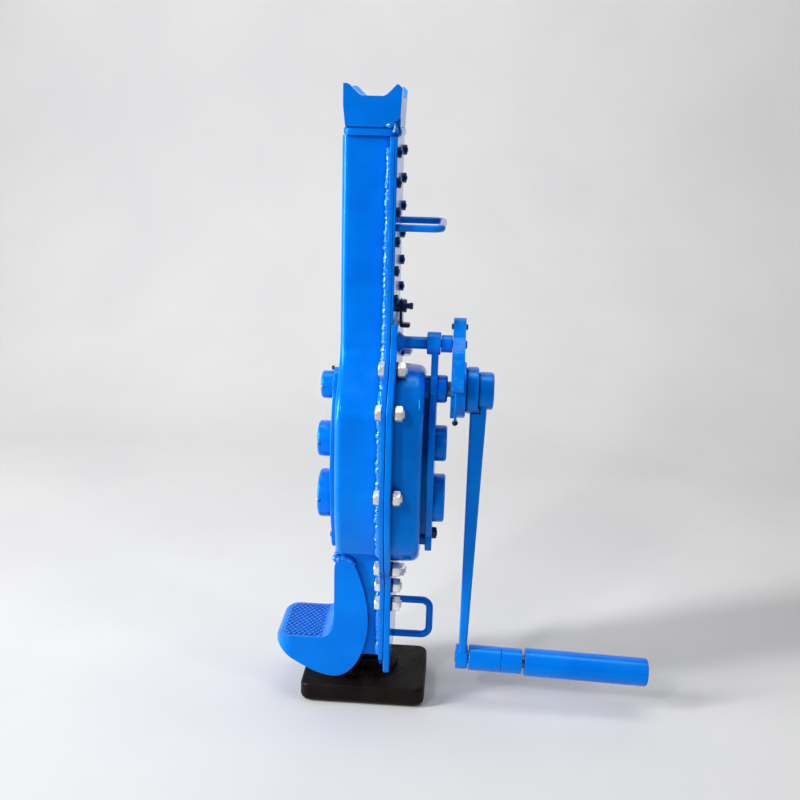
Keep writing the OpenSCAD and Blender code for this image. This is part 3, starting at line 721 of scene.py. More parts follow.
def pointed_oval(inset=0.0):
    """Outline of a bearing plate: two wide arcs that meet a round nose at each end."""
    middle, reach, half, nose, nose_z = 310.0, 114.0, 38.0, 18.0, 92.0
    big = (reach * reach + half * half) / (2 * half)
    side_radius, nose_radius = big - inset, nose - inset
    across, along = 2 * nose_radius * (big - half), 2 * nose_radius * nose_z
    level = side_radius ** 2 - nose_radius ** 2 - (big - half) ** 2 - nose_z ** 2
    meet = atan2(along, across) - acos(level / hypot(across, along))
    side_turn = asin((nose_z + nose_radius * sin(meet)) / side_radius)
    quarter = []
    for i in range(13):
        turn = side_turn * i / 12
        quarter.append((half - big + side_radius * cos(turn), side_radius * sin(turn)))
    for i in range(1, 10):
        turn = meet + (pi / 2 - meet) * i / 9
        quarter.append((nose_radius * cos(turn), nose_z + nose_radius * sin(turn)))
    half_outline = quarter + [(-y, z) for y, z in quarter[-2::-1]]
    outline = half_outline + [(-y, -z) for y, z in half_outline[1:-1]]
    return [(shaft_y + y, middle + z) for y, z in outline]


toe = [(0, 66), (1.5, 57), (3, 48.5), (7, 44.5), (11, 43.5), (17, 45.5), (21, 49.5), (22.6, 52)]
cover_outline = flange_outline(round(cover_high.z, 1))
cover_outline[1:5] = ([(flange_high.y - away, z) for away, z in toe]
                      + [(away - flange_high.y, z) for away, z in reversed(toe)])
cover_edge = plate("gear_cover_plate", cover_outline, "X", cover_low.x + 0.4, edge_face)
trimmed(cover_edge, plate("box_tool", box_outline(4.2), "X", 10, 50))
soften(cover_edge, 1.5, 3, 50)
box_rings = [(edge_face - 6, box_outline(0)), (edge_face + 1, box_outline(0)),
             (54, box_outline(1.2))]
for i in range(1, 8):
    turn = radians(90 * i / 7)
    box_rings.append((54 + (box_face - 54) * sin(turn), box_outline(1.2 + 9.3 * (1 - cos(turn)))))
box_rings.append((box_face, box_outline(24)))
gear_box = layered("gear_box_pressed", box_rings, "X")
hollow = layered("hollow_tool", [
    (place, box_outline(inset))
    for place, inset in [(edge_face - 8, 4.1), (52, 5.2), (58, 8), (60.9, 12), (61, 24)]], "X")
trimmed(gear_box, hollow)
pad = plate("plate_pad", pointed_oval(7), "X", box_face - 1, crank_plate_x[0])
crank_z = (span("crank_boss")[0].z + span("crank_boss")[1].z) / 2
pad_boss = turned("pad_boss", [(box_face - 1, 0), (box_face - 1, 15), (crank_plate_x[0] - 1, 15),
                               (crank_plate_x[0], 14), (crank_plate_x[0], 0)], shaft_y, crank_z)
gear_cover = joined("gear_cover_pressed", [gear_box, cover_edge, pad, pad_boss])
fit(polish(gear_cover, 34), sheet_enamel, "gear_cover")

# ---- Bearing plates and caps --------------------------------------------------------------
# Cut steel plates, pointed at both ends, that carry the bushes. The web side has screwed caps
# with a spanner slot. The crank side has turned bosses and a strap up to the pawl's pin.

web_plate_low, web_plate_high = span("left_bearing_plate")
web_plate = plate("web_bearing_plate", pointed_oval(), "X", web_plate_low.x, web_plate_high.x)
fit(polish(soften(web_plate, 1.2, 3, 50)), forged_enamel, "left_bearing_plate")

eye_z = (span("pawl_bush")[0].z + span("pawl_bush")[1].z) / 2
crank_plate = plate("crank_bearing_plate", pointed_oval(), "X", *crank_plate_x)
strap = plate("strap", [
    (shaft_y - 11, 396), (shaft_y + 11, 396), (shaft_y + 11, eye_z), (shaft_y - 11, eye_z)
], "X", crank_plate_x[0] + 0.05, crank_plate_x[1] - 0.05)
eye = turned("eye", [(65, 7), (65, 12), (66, 13), (79.5, 13), (80.5, 12), (80.5, 7)], shaft_y, eye_z)
soften(crank_plate, 1.2, 3, 50)
soften(strap, 1.2, 3, 50)
crank_plate = joined("crank_bearing_plate", [crank_plate, strap, eye])
fit(polish(crank_plate), forged_enamel, "right_bearing_plate")

for name in ("crank", "second", "third"):
    cap_low, cap_high = span(name + "_cap_left")
    radius = (cap_high.z - cap_low.z) / 2
    middle = (cap_high.z + cap_low.z) / 2
    cap = turned(name + "_cap_screwed", [
        (cap_high.x, 0), (cap_high.x, radius), (cap_low.x + 3.4, radius), (cap_low.x + 1.6, radius - 0.5),
        (cap_low.x + 0.4, radius - 1.8), (cap_low.x, radius - 3.6), (cap_low.x, 0)], shaft_y, middle)
    slot_tool = plate("slot_tool", [
        (cap_low.x - 2, middle - 1.8), (cap_low.x + 5, middle - 1.8),
        (cap_low.x + 5, middle + 1.8), (cap_low.x - 2, middle + 1.8)], "Y", shaft_y - 60, shaft_y + 60)
    trimmed(cap, slot_tool)
    fit(polish(soften(cap, 0.5, 2, 60)), forged_enamel, name + "_cap_left")
    boss_low, boss_high = span(name + "_boss")
    radius = (boss_high.z - boss_low.z) / 2
    middle = (boss_high.z + boss_low.z) / 2
    bore = 9.6 if name == "crank" else 0.0
    boss = turned(name + "_boss_turned", [
        (boss_low.x, bore), (boss_low.x, radius), (boss_high.x - 3.2, radius),
        (boss_high.x - 1.4, radius - 0.5), (boss_high.x - 0.3, radius - 1.7), (boss_high.x, radius - 3.2),
        (boss_high.x, radius * 0.45 + bore * 0.4), (boss_high.x - 1, radius * 0.4 + bore * 0.4),
        (boss_high.x - 1, bore)], shaft_y, middle)
    fit(polish(boss), forged_enamel, name + "_boss")

# ---- Head ---------------------------------------------------------------------------------
# A forged head with a horn at each corner round a flat saddle, welded on a band that closes
# the channel. The beads of the weld show in front.

head_low, head_high = span("head")
saddle_z = head_high.z - 12
head = plate("horned_head", [
    (-29, head_low.z), (10, head_low.z), (20, head_low.z + 3), (29.5, head_low.z + 9),
    (31, head_high.z - 4), (26.8, head_high.z), (24.5, head_high.z - 0.7), (18, saddle_z + 4.6),
    (14.5, saddle_z + 1.4), (11, saddle_z), (-11, saddle_z), (-14.5, saddle_z + 1.6), (-18, saddle_z + 4.8),
    (-24.5, head_high.z - 1.2), (-27, head_high.z), (-31, head_high.z), (-31, head_low.z + 21)
], "Y", head_low.y, head_high.y)
side_tool = plate("side_tool", [
    (head_low.y + 3, head_low.z - 1), (head_high.y - 3, head_low.z - 1),
    (head_high.y + 1, head_high.z - 10), (head_high.y + 1, head_high.z + 1),
    (head_high.y - 5, head_high.z + 1), (head_high.y - 19, saddle_z + 1.2),
    (head_high.y - 23, saddle_z - 0.6), (head_low.y + 23, saddle_z - 0.6),
    (head_low.y + 19, saddle_z + 1.2), (head_low.y + 5, head_high.z + 1),
    (head_low.y - 1, head_high.z + 1), (head_low.y - 1, head_high.z - 10)
], "X", -40, 40)
trimmed(head, side_tool, "INTERSECT")
polish(soften(head, 1.3, 3, 28))
packing = plate("packing", [
    (8, head_low.z + 0.1), (29.6, head_low.z + 0.1), (29.6, head_low.z + 9), (20, head_low.z + 4)
], "Y", -42.8, 42.8)
head_welds = []
for side in (-1, 1):
    y = side * 43.6
    head_welds.append(weld_run("head_weld", [(13, y, 687.4), (20, y, 688.6), (26, y, 690.4)], 2.8))
    head_welds.append(weld_run("head_weld", [
        (25, y, 690), (24.5, side * 44.6, 684), (23.5, side * 44.6, 679)], 3.6))
head.data.materials.append(forged_enamel)
packing.data.materials.append(forged_enamel)
fit(joined("horned_head", [head, packing, *head_welds]), None, "head")

band_low, band_high = span("head_collar")


def band_outline(inset):
    """Outline of the band, shrunk by the inset."""
    return rounded_oblong(band_low.x + inset, band_high.x - inset,
                          band_low.y + inset, band_high.y - inset, 9)


band = layered("head_band", [
    (height, band_outline(inset))
    for height, inset in [(band_low.z, 1.6), (band_low.z + 1, 0.5), (band_low.z + 3, 0),
                          (band_high.z - 3, 0), (band_high.z - 1, 0.6), (band_high.z, 1.8)]
], "Z")
fit(polish(band, 50), forged_enamel, "head_collar")

# ---- Claw ---------------------------------------------------------------------------------
# The drop-forged foot claw. Its cheeks straddle the channel, and its pad is cut with crossed
# grooves so a load can't slip. A weld runs over the top of its back.


def curved_outline(points, steps=5):
    """A closed outline that runs smoothly through its points."""
    outline = []
    count = len(points)
    for i in range(count):
        before, start, end, after = (Vector(points[(i + k) % count]) for k in (-1, 0, 1, 2))
        for k in range(steps):
            t = k / steps
            outline.append(tuple(0.5 * (
                2 * start + (end - before) * t + (2 * before - 5 * start + 4 * end - after) * t * t
                + (3 * start - before - 3 * end + after) * t * t * t)))
    return outline


claw_low, claw_high = span("claw")
pad_z = 84.0
claw = plate("foot_claw", curved_outline([
    (-36, 176), (-36, 150), (-36, 125), (-36.4, 104), (-39.5, 92.5), (-47, 85.8), (-57, pad_z),
    (-74, pad_z), (-91, pad_z), (-100, 83.6), (-106.5, 81), (-108.8, 75.5), (-105.5, 68.5), (-97, 60),
    (-86, 52), (-74, 45), (-61, 38.5), (-48, 34), (-38, 32.6), (-28, 34), (-18, 40), (-8.5, 51.5),
    (-1.5, 67), (3, 84), (5.3, 104), (4.2, 124), (0.8, 144), (-4.5, 163), (-11, 180), (-17, 187.5),
    (-24, 189.8), (-30.5, 188), (-34.8, 183)
]), "Y", claw_low.y, claw_high.y)
corner = 20.0
plan = [(60, claw_high.y + 1)]
for side, start in ((1, 90), (-1, 180)):
    for i in range(10):
        turn = radians(start + 10 * i)
        plan.append((claw_low.x + 0.2 + corner + corner * cos(turn),
                     side * (claw_high.y - corner) + corner * sin(turn)))
plan.append((60, claw_low.y - 1))
trimmed(claw, plate("plan_tool", plan, "Z", 0, 250), "INTERSECT")
soften(claw, 6.4, 7, 60)
pocket = plate("pocket_tool", [(web_x - 0.2, 0), (60, 0), (60, 260), (web_x - 0.2, 260)], "Y",
               -tube_half - 0.2, tube_half + 0.2)
trimmed(claw, pocket)
polish(framed(claw), 50)


def copy_at(piece, place):
    """A copy of a piece with its own mesh, moved by so many millimetres."""
    twin = piece.copy()
    twin.data = piece.data.copy()
    twin.data.transform(Matrix.Translation(Vector(place) * mm))
    bpy.context.collection.objects.link(twin)
    return twin


def pad_teeth():
    """Crossed grooves leave rows of low flat-topped teeth on the pad."""
    pitch_x, pitch_y = 6.4, 9.4
    rings = [(pad_z - 0.6, 0.84), (pad_z + 0.3, 0.82), (pad_z + 1.0, 0.7), (pad_z + 1.1, 0.62)]
    first = layered("tooth", [
        (z, [(-pitch_x / 2 * share, 0), (0, -pitch_y / 2 * share), (pitch_x / 2 * share, 0),
             (0, pitch_y / 2 * share)]) for z, share in rings], "Z")
    first.data.materials.append(forged_enamel)
    teeth = []
    for i in range(16):
        for j in range(17):
            x = -53.5 - i * pitch_x / 2
            y = (j - 8) * pitch_y / 2
            inner = hypot(min(0, x + 88), max(0, abs(y) - 26))
            if (i + j) % 2 == 0 and x >= -99 and inner <= 12.5:
                teeth.append(copy_at(first, (x, y, 0)))
    bpy.data.objects.remove(first)
    return teeth


claw_welds = [weld_run("back_claw_weld", [(-34.6, -42, 187), (-34.6, 42, 187)], 4.0)]
for side in (-1, 1):
    claw_welds.append(weld_run("cheek_weld", [
        (-34, side * 41, 185), (-30, side * 41.4, 188.6), (-24, side * 41.4, 190),
        (-17, side * 41.4, 187.6), (-11, side * 41.2, 180.5)], 2.9))
claw.data.materials.append(forged_enamel)
# The groove floor is the same enamel at a fraction of its brightness: painted shade in the grooves between
# the teeth.
groove_shade_enamel = blue_enamel("groove_shade_enamel", 0.3, 0.1, 0.3, 0.0, 0.12)
grooves = plate("grooves", rounded_oblong(-99, -51.5, -40, 40, 11), "Z", pad_z - 0.6, pad_z + 0.2)
grooves.data.materials.append(groove_shade_enamel)
fit(joined("foot_claw", [claw, grooves, *claw_welds, *pad_teeth()]), None, "claw")

# ---- Handles ------------------------------------------------------------------------------
# Round rod, bent into a loop with two quarter bends and welded to the covers: a wide one to
# carry the jack by, and a small upright one near its foot.


def rod_loop(name, x, reach, low, high, radius, bend, flat):
    """A rod that runs out along X, bends, crosses from low to high, and runs back."""
    route = [(x, low)]
    for start, cy in ((-90, low + bend), (0, high - bend)):
        for i in range(9):
            turn = radians(start + 90 * i / 8)
            route.append((x + reach - bend + bend * cos(turn), cy + bend * sin(turn)))
    route.append((x, high))
    line = bpy.data.curves.new(name, "CURVE")
    line.dimensions = "3D"
    line.bevel_depth = radius * mm
    line.bevel_resolution = 7
    line.use_fill_caps = True
    path = line.splines.new("POLY")
    path.points.add(len(route) - 1)
    for point, (a, b) in zip(path.points, route):
        place = (a, b, flat) if name == "carrying_handle" else (a, flat, b)
        point.co = (*(Vector(place) * mm), 1)
    piece = bpy.data.objects.new(name, line)
    bpy.context.collection.objects.link(piece)
    choose(piece)
    bpy.ops.object.convert(target="MESH")
    return bpy.context.object


upper_rod_low, upper_rod_high = span("upper_handle")
carry = rod_loop("carrying_handle", upper_rod_low.x, 52, -45, 45, 4, 11,
                 (upper_rod_low.z + upper_rod_high.z) / 2)
fit(polish(carry, 50), turned_enamel, "upper_handle")
lower_rod_low, lower_rod_high = span("lower_handle")
rod_half = (lower_rod_high.y - lower_rod_low.y) / 2
small = rod_loop("foot_handle", lower_rod_low.x, lower_rod_high.x - rod_half - lower_rod_low.x,
                 lower_rod_low.z + rod_half, lower_rod_high.z - rod_half, rod_half, 10, 0)
fit(polish(small, 50), turned_enamel, "lower_handle")

# ---- Flange bolts, washers and nuts -------------------------------------------------------
# Zinc-plated M10 bolts hold the gear cover to the flange, in two rows.


def zinc_plate():
    """Bright zinc with a faint yellow bloom and dull specks."""
    finish, tree, shader = blank_material("zinc_plate", Metallic=0.85)
    skin = placed_group(tree, mottle, Patch_Scale=150.0, Grain_Scale=1300.0)
    wear = placed_group(tree, edge_wear_and_highlight, Amount=0.5)["Mask"]
    colour = mixed(tree, skin["Patches"], (0.78, 0.77, 0.72, 1), (0.93, 0.93, 0.92, 1))
    colour = mixed(tree, wear, colour, (0.55, 0.42, 0.27, 1))
    tree.links.new(colour, shader.inputs["Base Color"])
    rough = maths(tree, "ADD", maths(tree, "MULTIPLY", skin["Patches"], 0.2), 0.28)
    tree.links.new(rough, shader.inputs["Roughness"])
    raised(tree, shader, skin["Grain"], 0.2, 0.0002)
    return finish


def hexagon(name, low, high, flats, chamfer_low=1.0, chamfer_high=1.0, bore=0.0):
    """A hexagon with its corners turned off at the ends, standing on the origin's X axis."""

    def ring(limit):
        points = []
        for i in range(24):
            turn = radians(15 * i)
            away = radians((15 * i) % 60 - 30)
            reach = min(flats / 2 / cos(away), limit)
            points.append((reach * cos(turn + pi / 2), reach * sin(turn + pi / 2)))
        return points

    tight, full = ring(flats / 2 * 0.985), ring(flats)
    rings = [(low, tight), (low + 0.05, tight)] if chamfer_low else [(low, full)]
    if chamfer_low:
        rings.append((low + chamfer_low, full))
    rings += [(high - chamfer_high, full), (high, tight)]
    if bore:
        rings.append((high, [(bore * cos(radians(15 * i + 90)), bore * sin(radians(15 * i + 90)))
                             for i in range(24)]))
        rings.append((high - 0.8, rings[-1][1]))
    return layered(name, rings, "X")


def stud(name, low, high, radius, pitch=1.4):
    """A threaded end, with its crests and roots turned one by one."""
    profile = [(low, 0), (low, radius)]
    place = low + 0.2
    while place < high - 1.4:
        profile += [(place, radius), (place + pitch / 2, radius - 0.55)]
        place += pitch
    profile += [(high - 0.8, radius - 0.3), (high, radius - 1.1), (high, 0)]
    return turned(name, profile, 0, 0, "X", 24)


def copied(name, piece, places):
    """Copies a piece to each place and joins the copies."""
    made = [copy_at(piece, place) for place in places]
    bpy.data.objects.remove(piece)
    return joined(name, made)


def bolt_reach(z):
    """Distance of a front flange bolt from the middle."""
    if z < belly_foot:
        return flange_reach(z) - 8.8
    if z < 400:
        return belly_reach + 9.3
    return front_reach(z - 5) + 9.5


def blackened_steel():
    """Blackened steel with thin blue overspray."""
    finish, tree, shader = blank_material("blackened_steel", Metallic=0.6, Specular_IOR_Level=0.5)
    skin = placed_group(tree, mottle, Patch_Scale=220.0, Grain_Scale=1100.0)
    wear = placed_group(tree, edge_wear_and_highlight, Amount=0.8)["Mask"]
    colour = mixed(tree, skin["Patches"], (0.006, 0.010, 0.028, 1), (0.010, 0.035, 0.11, 1))
    colour = mixed(tree, wear, colour, (0.30, 0.36, 0.46, 1))
    tree.links.new(colour, shader.inputs["Base Color"])
    rough = maths(tree, "ADD", maths(tree, "MULTIPLY", skin["Grain"], 0.3), 0.2)
    tree.links.new(rough, shader.inputs["Roughness"])
    raised(tree, shader, skin["Grain"], 0.3, 0.0002)
    return finish


black_steel = blackened_steel()
zinc = zinc_plate()
nut_face = edge_face + 2
flange_row = [(0, y, z) for z in (137, 161, 190, 289, 387, 428)
              for y in (-bolt_reach(z), flange_high.y - 9.5)]
bolt = joined("bolt", [hexagon("bolt_head", flange_low.x - 6.4, flange_low.x, 16, 1.2, 0.3),
                       stud("bolt_end", edge_face - 1, 45.5, 5)])
fit(polish(copied("flange_bolts_zinc", bolt, flange_row)), zinc, "flange_bolts")
# The washers are blackened steel, which makes a dark ring between the flange and each nut.
washer = turned("washer", [(edge_face, 5.3), (edge_face, 8.7), (edge_face + 0.3, 8.9),
                           (edge_face + 1.7, 8.9), (nut_face, 8.6), (nut_face, 5.3)], 0, 0, "X", 32)
fit(polish(copied("flange_washers_black", washer, flange_row)), black_steel, "flange_washers")
nut = hexagon("nut", nut_face, nut_face + 8.4, 16, 1.3, 1.5, 5.2)
fit(polish(copied("flange_nuts_zinc", nut, flange_row)), zinc, "flange_nuts")
refinish(frame["nodes"]["foot_screw"], zinc)

# ---- Cover bolts and small dark fasteners -------------------------------------------------
# Blackened M6 nuts hold the upper cover, with their round heads painted over on the flange.
# A thumb screw and a bent strap sit above the gear cover.

cover_face = upper_high.x
bolt_rows_z = [504 + 31.4 * i for i in range(6)]
cover_row = [(0, y, z) for z in bolt_rows_z for y in (-47.5, 47.5)]
head_x = flange_low.x
round_head = turned("round_head", [
    (head_x, 0), (head_x, 5.2), (head_x - 1.6, 5.1), (head_x - 2.8, 4.4), (head_x - 3.6, 3.0),
    (head_x - 4, 1.2), (head_x - 4, 0)], 0, 0, "X", 32)
screw = joined("screw", [round_head, stud("screw_end", cover_face - 1, cover_face + 5.2, 3, 1.0)])
fit(polish(copied("cover_bolts_round", screw, cover_row), 40), turned_enamel, "cover_bolts")
small_nut = hexagon("small_nut", cover_face, cover_face + 4.2, 10, 0.6, 0.9, 3.1)
fit(polish(copied("cover_nuts_dark", small_nut, cover_row)), black_steel, "cover_nuts")

plate_nut_x = crank_plate_x[1]
plate_bolt = joined("plate_bolt", [hexagon("plate_bolt_head", plate_nut_x, plate_nut_x + 5.3, 13, 0, 1.3),
                                   stud("plate_bolt_end", plate_nut_x + 4.9, plate_nut_x + 6, 4)])
fit(polish(copied("plate_bolts_dark", plate_bolt, [(0, shaft_y, 222), (0, shaft_y + 30, 330)])),
    black_steel, "plate_bolts")
for name in ("left_plate_screws", "pawl_screw"):
    refinish(frame["nodes"][name], black_steel)

screw_y, screw_z = -30.0, 494.5
spacer = turned("spacer", [(28, 5), (28, 6.6), (28.4, 7), (32.8, 7), (33.2, 6.6), (33.2, 5)], 0, 0)
thumb_head = hexagon("thumb_head", 36.3, 41, 13, 0.8, 0.8)
thumb_stem = turned("thumb_stem", [
    (25.1, 0), (25.1, 5), (33.1, 5), (36.4, 5), (36.4, 4.1), (41, 4.1), (41.2, 3.2),
    (44, 3.2), (44.4, 3.8), (47.2, 3.8), (48, 3), (48, 0)], 0, 0)
thumb_parts = joined("thumb", [spacer, thumb_head, thumb_stem])
thumb = copied("thumb_screw", thumb_parts, [(0, screw_y, screw_z)])
fit(polish(thumb), black_steel, "stop_screw")

hook_low, hook_high = span("latch_hook")
hook = plate("strap_hook", [
    (hook_low.x, hook_high.z - 1.5), (hook_low.x + 1.4, hook_high.z),
    (hook_low.x + 2.8, hook_high.z - 1.5), (hook_low.x + 2.9, hook_low.z + 7.5),
    (hook_low.x + 3.9, hook_low.z + 5), (hook_high.x - 1.6, hook_low.z + 4.5),
    (hook_high.x, hook_low.z + 3.4), (hook_high.x - 0.4, hook_low.z + 0.8), (hook_high.x - 2, hook_low.z),
    (hook_low.x + 2.6, hook_low.z), (hook_low.x + 0.6, hook_low.z + 1.2), (hook_low.x, hook_low.z + 3.4)
], "Y", hook_low.y, hook_high.y)
fit(polish(soften(hook, 0.6, 2)), black_steel, "latch_hook")

# ---- Stay pin and pawl bush ---------------------------------------------------------------
# A turned pin runs from the gear cover's plate through the strap's eye and carries the pawl.
# The bush spaces the pawl from the eye.

pin = turned("stay_pin_turned", [
    (33, 0), (33, 12), (34.5, 11.4), (37.5, 8.4), (39.5, 7.2), (42, 7), (80.5, 7), (80.5, 4.5),
    (109.6, 4.5), (110.2, 3.8), (110.2, 0)], shaft_y, eye_z)
fit(polish(pin), turned_enamel, "stay_pin")
bush = turned("pawl_bush_turned", [
    (81, 4.55), (81, 9.4), (81.6, 10), (92.9, 10), (93.6, 9.3), (93.6, 4.55)], shaft_y, eye_z)
fit(polish(bush), turned_enamel, "pawl_bush")

# ---- Pawl ---------------------------------------------------------------------------------
# A flame-cut and ground lever: a thumb end above the pin, and a hook that drops in front of
# the ratchet wheel, with its tooth turned in. A small knob hangs under the hook.

pawl_low, pawl_high = span("pawl_lever")
thumb_y, thumb_z = -19.0, 474.0
elbow_y, elbow_z = -63.0, 447.0
nose_y, nose_z = -67.0, 413.0


def limb(first, second, steps=10):
    """Outline of a bar with round ends; each end is (y, z, radius)."""
    (y0, z0, r0), (y1, z1, r1) = first, second
    lean = degrees(atan2(z1 - z0, y1 - y0))
    open_angle = degrees(asin((r0 - r1) / hypot(y1 - y0, z1 - z0)))
    outline = []
    for (y, z, r, start, sweep) in ((y0, z0, r0, lean + 90 - open_angle, 180 + 2 * open_angle),
                                    (y1, z1, r1, lean - 90 + open_angle, 180 - 2 * open_angle)):
        for i in range(steps + 1):
            turn = radians(start + sweep * i / steps)
            outline.append((y + r * cos(turn), z + r * sin(turn)))
    return outline


limbs = [limb((shaft_y, eye_z, 11), (thumb_y, thumb_z, 7)),
         limb((shaft_y, eye_z, 11), (elbow_y, elbow_z, 6.5)),
         limb((elbow_y, elbow_z, 6.5), (nose_y, nose_z, 6))]
lever = plate("pawl_forged", limbs[0], "X", pawl_low.x, pawl_high.x)
trimmed(lever, plate("second_limb", limbs[1], "X", pawl_low.x, pawl_high.x), "UNION")
trimmed(lever, plate("third_limb", limbs[2], "X", pawl_low.x, pawl_high.x), "UNION")
tooth = plate("pawl_tooth", [(nose_y, nose_z + 5), (nose_y + 8.6, nose_z + 0.5), (nose_y + 8, nose_z - 3),
                             (nose_y, nose_z - 5)], "X", 94.3, 100.7)
trimmed(lever, tooth, "UNION")
pin_hole = turned("pin_hole", [(pawl_low.x - 5, 0), (pawl_low.x - 5, 4.55), (pawl_high.x + 5, 4.55),
                               (pawl_high.x + 5, 0)], shaft_y, eye_z)
trimmed(lever, pin_hole)
fit(polish(soften(lever, 1.2, 3, 45)), forged_enamel, "pawl_lever")

knob_x = 100.0
ball = turned("ball", [(368.6, 0), (368.9, 1.5), (369.8, 2.6), (371, 3.3), (372.4, 3.3), (373.8, 2.7),
                       (374.9, 1.5), (375.4, 0)], knob_x, nose_y, "Z", 24)
ball.data.materials.append(black_steel)
wire = turned("wire", [(374, 0), (374, 1.6), (407, 1.6), (407, 0)], knob_x, nose_y, "Z", 16)
wire.data.materials.append(turned_enamel)
fit(polish(joined("knob", [ball, wire]), 40), None, "pawl_knob")

# ---- Ratchet wheel and brake disc ---------------------------------------------------------
# The ratchet wheel is cut from plate with saw teeth, and runs against the brake disc. Both
# turn with the crank.

tooth_turn = 360 / 14
ratchet_low, ratchet_high = span("ratchet_wheel")
saw = []
for k in range(14):
    for radius, lag in ((28.5, 0), (33, 1.5), (33, 6)):
        turn = radians(tooth_turn * -0.03 - k * tooth_turn - lag)
        saw.append((shaft_y + radius * cos(turn), crank_z + radius * sin(turn)))
ratchet = plate("ratchet_cut", saw, "X", ratchet_low.x, ratchet_high.x)
fit(polish(soften(ratchet, 0.5, 2, 40)), forged_enamel, "ratchet_wheel")
disc = turned("brake_disc_turned", [(101, 9), (101, 31.7), (101.6, 32.3), (108.6, 32.3), (110.4, 31.6),
                                    (111, 30), (111, 9)], shaft_y, crank_z)
fit(polish(disc), turned_enamel, "brake_disc")
shaft_end = turned("crank_shaft_turned", [
    (-46, 0), (-46, 8), (-45, 9), (110.5, 9), (110.5, 8), (138.2, 8), (139, 7.2), (139, 2.2),
    (138, 1.2), (138, 0)], shaft_y, crank_z)
fit(polish(shaft_end), steel, "crank_shaft")

# ---- Crank arm ----------------------------------------------------------------------------
# A forged arm that thins towards the grip, between a hub disc and a boss on the shaft and an
# eye for the grip's spindle.

hub = turned("crank_hub_turned", [
    (111.1, 8), (111.1, 24.5), (111.9, 26.3), (113.8, 27), (122.6, 27), (124.4, 26.3),
    (125.2, 24.6), (125.2, 8)], shaft_y, crank_z)
fit(polish(hub), turned_enamel, "crank_hub")
grip_z = span("grip_spindle")[1].z - 8
arm_x = 116.5


def arm_section(x0, x1, half, bend):
    """Section across the arm, a rounded oblong."""
    return rounded_oblong(x0, x1, shaft_y - half, shaft_y + half, bend, 4)


arm_high_z, arm_low_z = crank_z - 24, grip_z + 11
arm = layered("arm_bar", [
    (arm_high_z + (arm_low_z - arm_high_z) * t,
     arm_section(arm_x, arm_x + 18.8 + (9.6 - 18.8) * t, 15 + (11 - 15) * t, 3.4 - 0.8 * t))
    for t in (0, 0.004, 0.25, 0.5, 0.75, 1.0)], "Z")
neck = layered("arm_neck", [
    (crank_z - below, arm_section(126.6, 135.2, 15, 3)) for below in (29.8, 16.8, 3.8)], "Z")
arm_boss = turned("arm_boss", [
    (125.3, 0), (125.3, 20), (126.4, 21.2), (128.4, 21.5), (139.4, 21.5), (141.4, 20.8), (142.4, 19.2),
    (142.6, 17.5), (142.6, 11), (141.4, 9.8), (139.2, 9.6), (139.2, 0)], shaft_y, crank_z)
lower_eye = turned("arm_eye", [
    (112.8, 0), (112.8, 13), (113.4, 14.4), (115, 15), (125.6, 15), (127.2, 14.4),
    (127.8, 13), (127.8, 0)], shaft_y, grip_z)
arm_piece = joined("crank_arm_forged", [arm, neck, arm_boss, lower_eye])
fit(polish(arm_piece), forged_enamel, "crank_arm")

# ---- Grip ---------------------------------------------------------------------------------
# A steel spindle through the arm's eye, a fixed tube and ring on it, and a longer sleeve that
# turns in the hand. The sleeve's end is rolled over.

droop = radians(1.8)
lean = (Matrix.Translation(Vector((arm_x, shaft_y, grip_z)) * mm) @ Matrix.Rotation(droop, 4, "Y")
        @ Matrix.Translation(Vector((-arm_x, 0, 0)) * mm))


def on_grip(piece):
    """Tips a piece made on the X axis to the grip's droop."""
    piece.data.transform(lean)
    return piece


spindle = on_grip(turned("grip_spindle_turned", [
    (112.2, 0), (112.2, 6.6), (113, 7.6), (128.4, 7.9), (338, 7.9), (338, 0)]))
fit(polish(spindle), steel, "grip_spindle")
tube = on_grip(turned("grip_fixed_tube_drawn", [
    (129, 7.95), (129, 14.6), (129.8, 15.5), (167.6, 15.5), (168.3, 14.9), (168.3, 7.95)]))
fit(polish(tube), turned_enamel, "grip_fixed_tube")
ring = on_grip(turned("grip_ring_turned", [
    (168.7, 7.95), (168.7, 14.9), (169.3, 15.5), (193.2, 15.5), (194, 14.8), (194, 7.95)]))
fit(polish(ring), turned_enamel, "grip_ring")
sleeve = on_grip(turned("grip_sleeve_rolled", [
    (197, 8.2), (197, 15.8), (197.5, 16.7), (198.5, 17), (343.2, 17), (345.2, 16.5), (346.2, 15.4),
    (346.5, 14), (345.9, 12.6), (345.2, 11.6), (345.2, 0), (340.5, 0), (340.5, 8.2)]))
fit(polish(sleeve), turned_enamel, "grip_sleeve")

# ---- Studio -------------------------------------------------------------------------------
# A pale sheet swept up behind the jack, soft lamps on the left and above, and the camera.

sweep_rows = [(-2.2, 0), (0.5, 0)]
sweep_rows += [(0.9 + 0.7 * sin(radians(a)), 0.7 - 0.7 * cos(radians(a))) for a in range(0, 91, 10)]
sweep_rows += [(1.6, 3.2)]
backdrop = laid_sheet("backdrop", 2, len(sweep_rows),
                      lambda i, j: ((-2600, 2600)[i], sweep_rows[j][0] / mm, sweep_rows[j][1] / mm))
bpy.ops.object.shade_smooth()
cloth, cloth_tree, cloth_shader = blank_material("pale_sheet", Roughness=0.9, Specular_IOR_Level=0.1)
cloth_skin = placed_group(cloth_tree, mottle, Patch_Scale=3.0, Grain_Scale=500.0)
cloth_colour = mixed(cloth_tree, cloth_skin["Patches"], (0.655, 0.655, 0.66, 1), (0.69, 0.69, 0.69, 1))
cloth_tree.links.new(cloth_colour, cloth_shader.inputs["Base Color"])
raised(cloth_tree, cloth_shader, cloth_skin["Grain"], 0.15, 0.0005)
backdrop.data.materials.append(cloth)


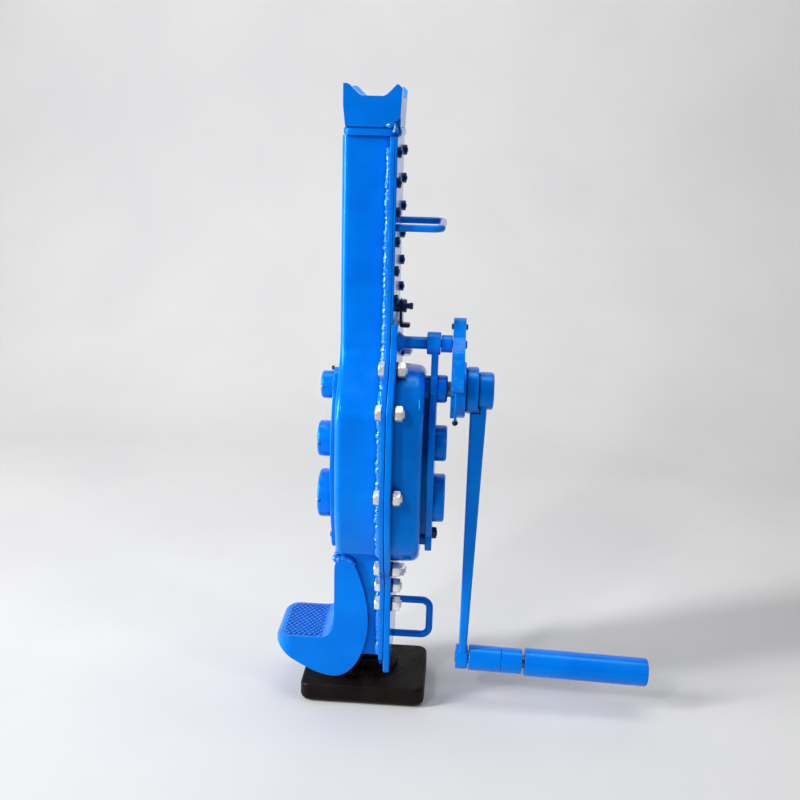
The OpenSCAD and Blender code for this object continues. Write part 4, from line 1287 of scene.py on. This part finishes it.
def soft_lamp(name, place, aim, size, power, spread=180):
    """A soft box of a width and height that points at a place."""
    lamp = bpy.data.lights.new(name, "AREA")
    lamp.shape = "RECTANGLE"
    lamp.size, lamp.size_y = size
    lamp.energy = power
    lamp.spread = radians(spread)
    stand = bpy.data.objects.new(name, lamp)
    bpy.context.collection.objects.link(stand)
    stand.location = place
    stand.rotation_euler = (Vector(aim) - Vector(place)).to_track_quat("-Z", "Y").to_euler()


soft_lamp("key_lamp", (-3.0, -1.3, 1.6), (0, 0, 0.4), (0.4, 2.6), 64, 120)
soft_lamp("window_lamp", (-1.7, -0.4, 0.5), (0, 0, 0.4), (0.7, 1.0), 10, 140)
soft_lamp("front_lamp", (-0.9, -2.6, 1.8), (0, 0, 0.3), (1.0, 0.8), 2)
soft_lamp("spark_lamp", (-0.8, -1.5, 1.5), (0, 0, 0.3), (0.2, 0.2), 1.0, 60)
soft_lamp("top_lamp", (0.2, 0.2, 2.6), (0.2, 0.2, 0.2), (1.6, 1.4), 13)
soft_lamp("rim_lamp", (1.5, -0.8, 1.0), (0.1, 0, 0.3), (0.2, 0.8), 0.8, 60)
soft_lamp("sheet_lamp", (0.2, 0.2, 2.2), (0.3, 1.7, 0.5), (3.2, 0.5), 12)

world = bpy.data.worlds.new("studio_air")
world.use_nodes = True
air = world.node_tree.nodes["Background"]
air.inputs["Color"].default_value = (0.93, 0.95, 1.0, 1)
air.inputs["Strength"].default_value = 0.09
bpy.context.scene.world = world
bpy.context.scene.view_settings.view_transform = "Standard"

lens = bpy.data.cameras.new("camera")
lens.lens = 44.85
lens.sensor_width = 36.0
lens.shift_x = 0.00625
camera = bpy.data.objects.new("camera", lens)
bpy.context.collection.objects.link(camera)
turn_in, tip_down, roll = radians(3.641), radians(15.82), radians(1.498)
ahead = Vector((-sin(turn_in) * cos(tip_down), cos(turn_in) * cos(tip_down), -sin(tip_down)))
level = Vector((cos(turn_in), sin(turn_in), 0))
above = level.cross(ahead)
right = level * cos(roll) + above * sin(roll)
up = above * cos(roll) - level * sin(roll)
facing = Matrix((right, up, -ahead)).transposed().to_4x4()
camera.matrix_world = Matrix.Translation((0.10018, -1.12635, 0.69615)) @ facing
bpy.context.scene.camera = camera
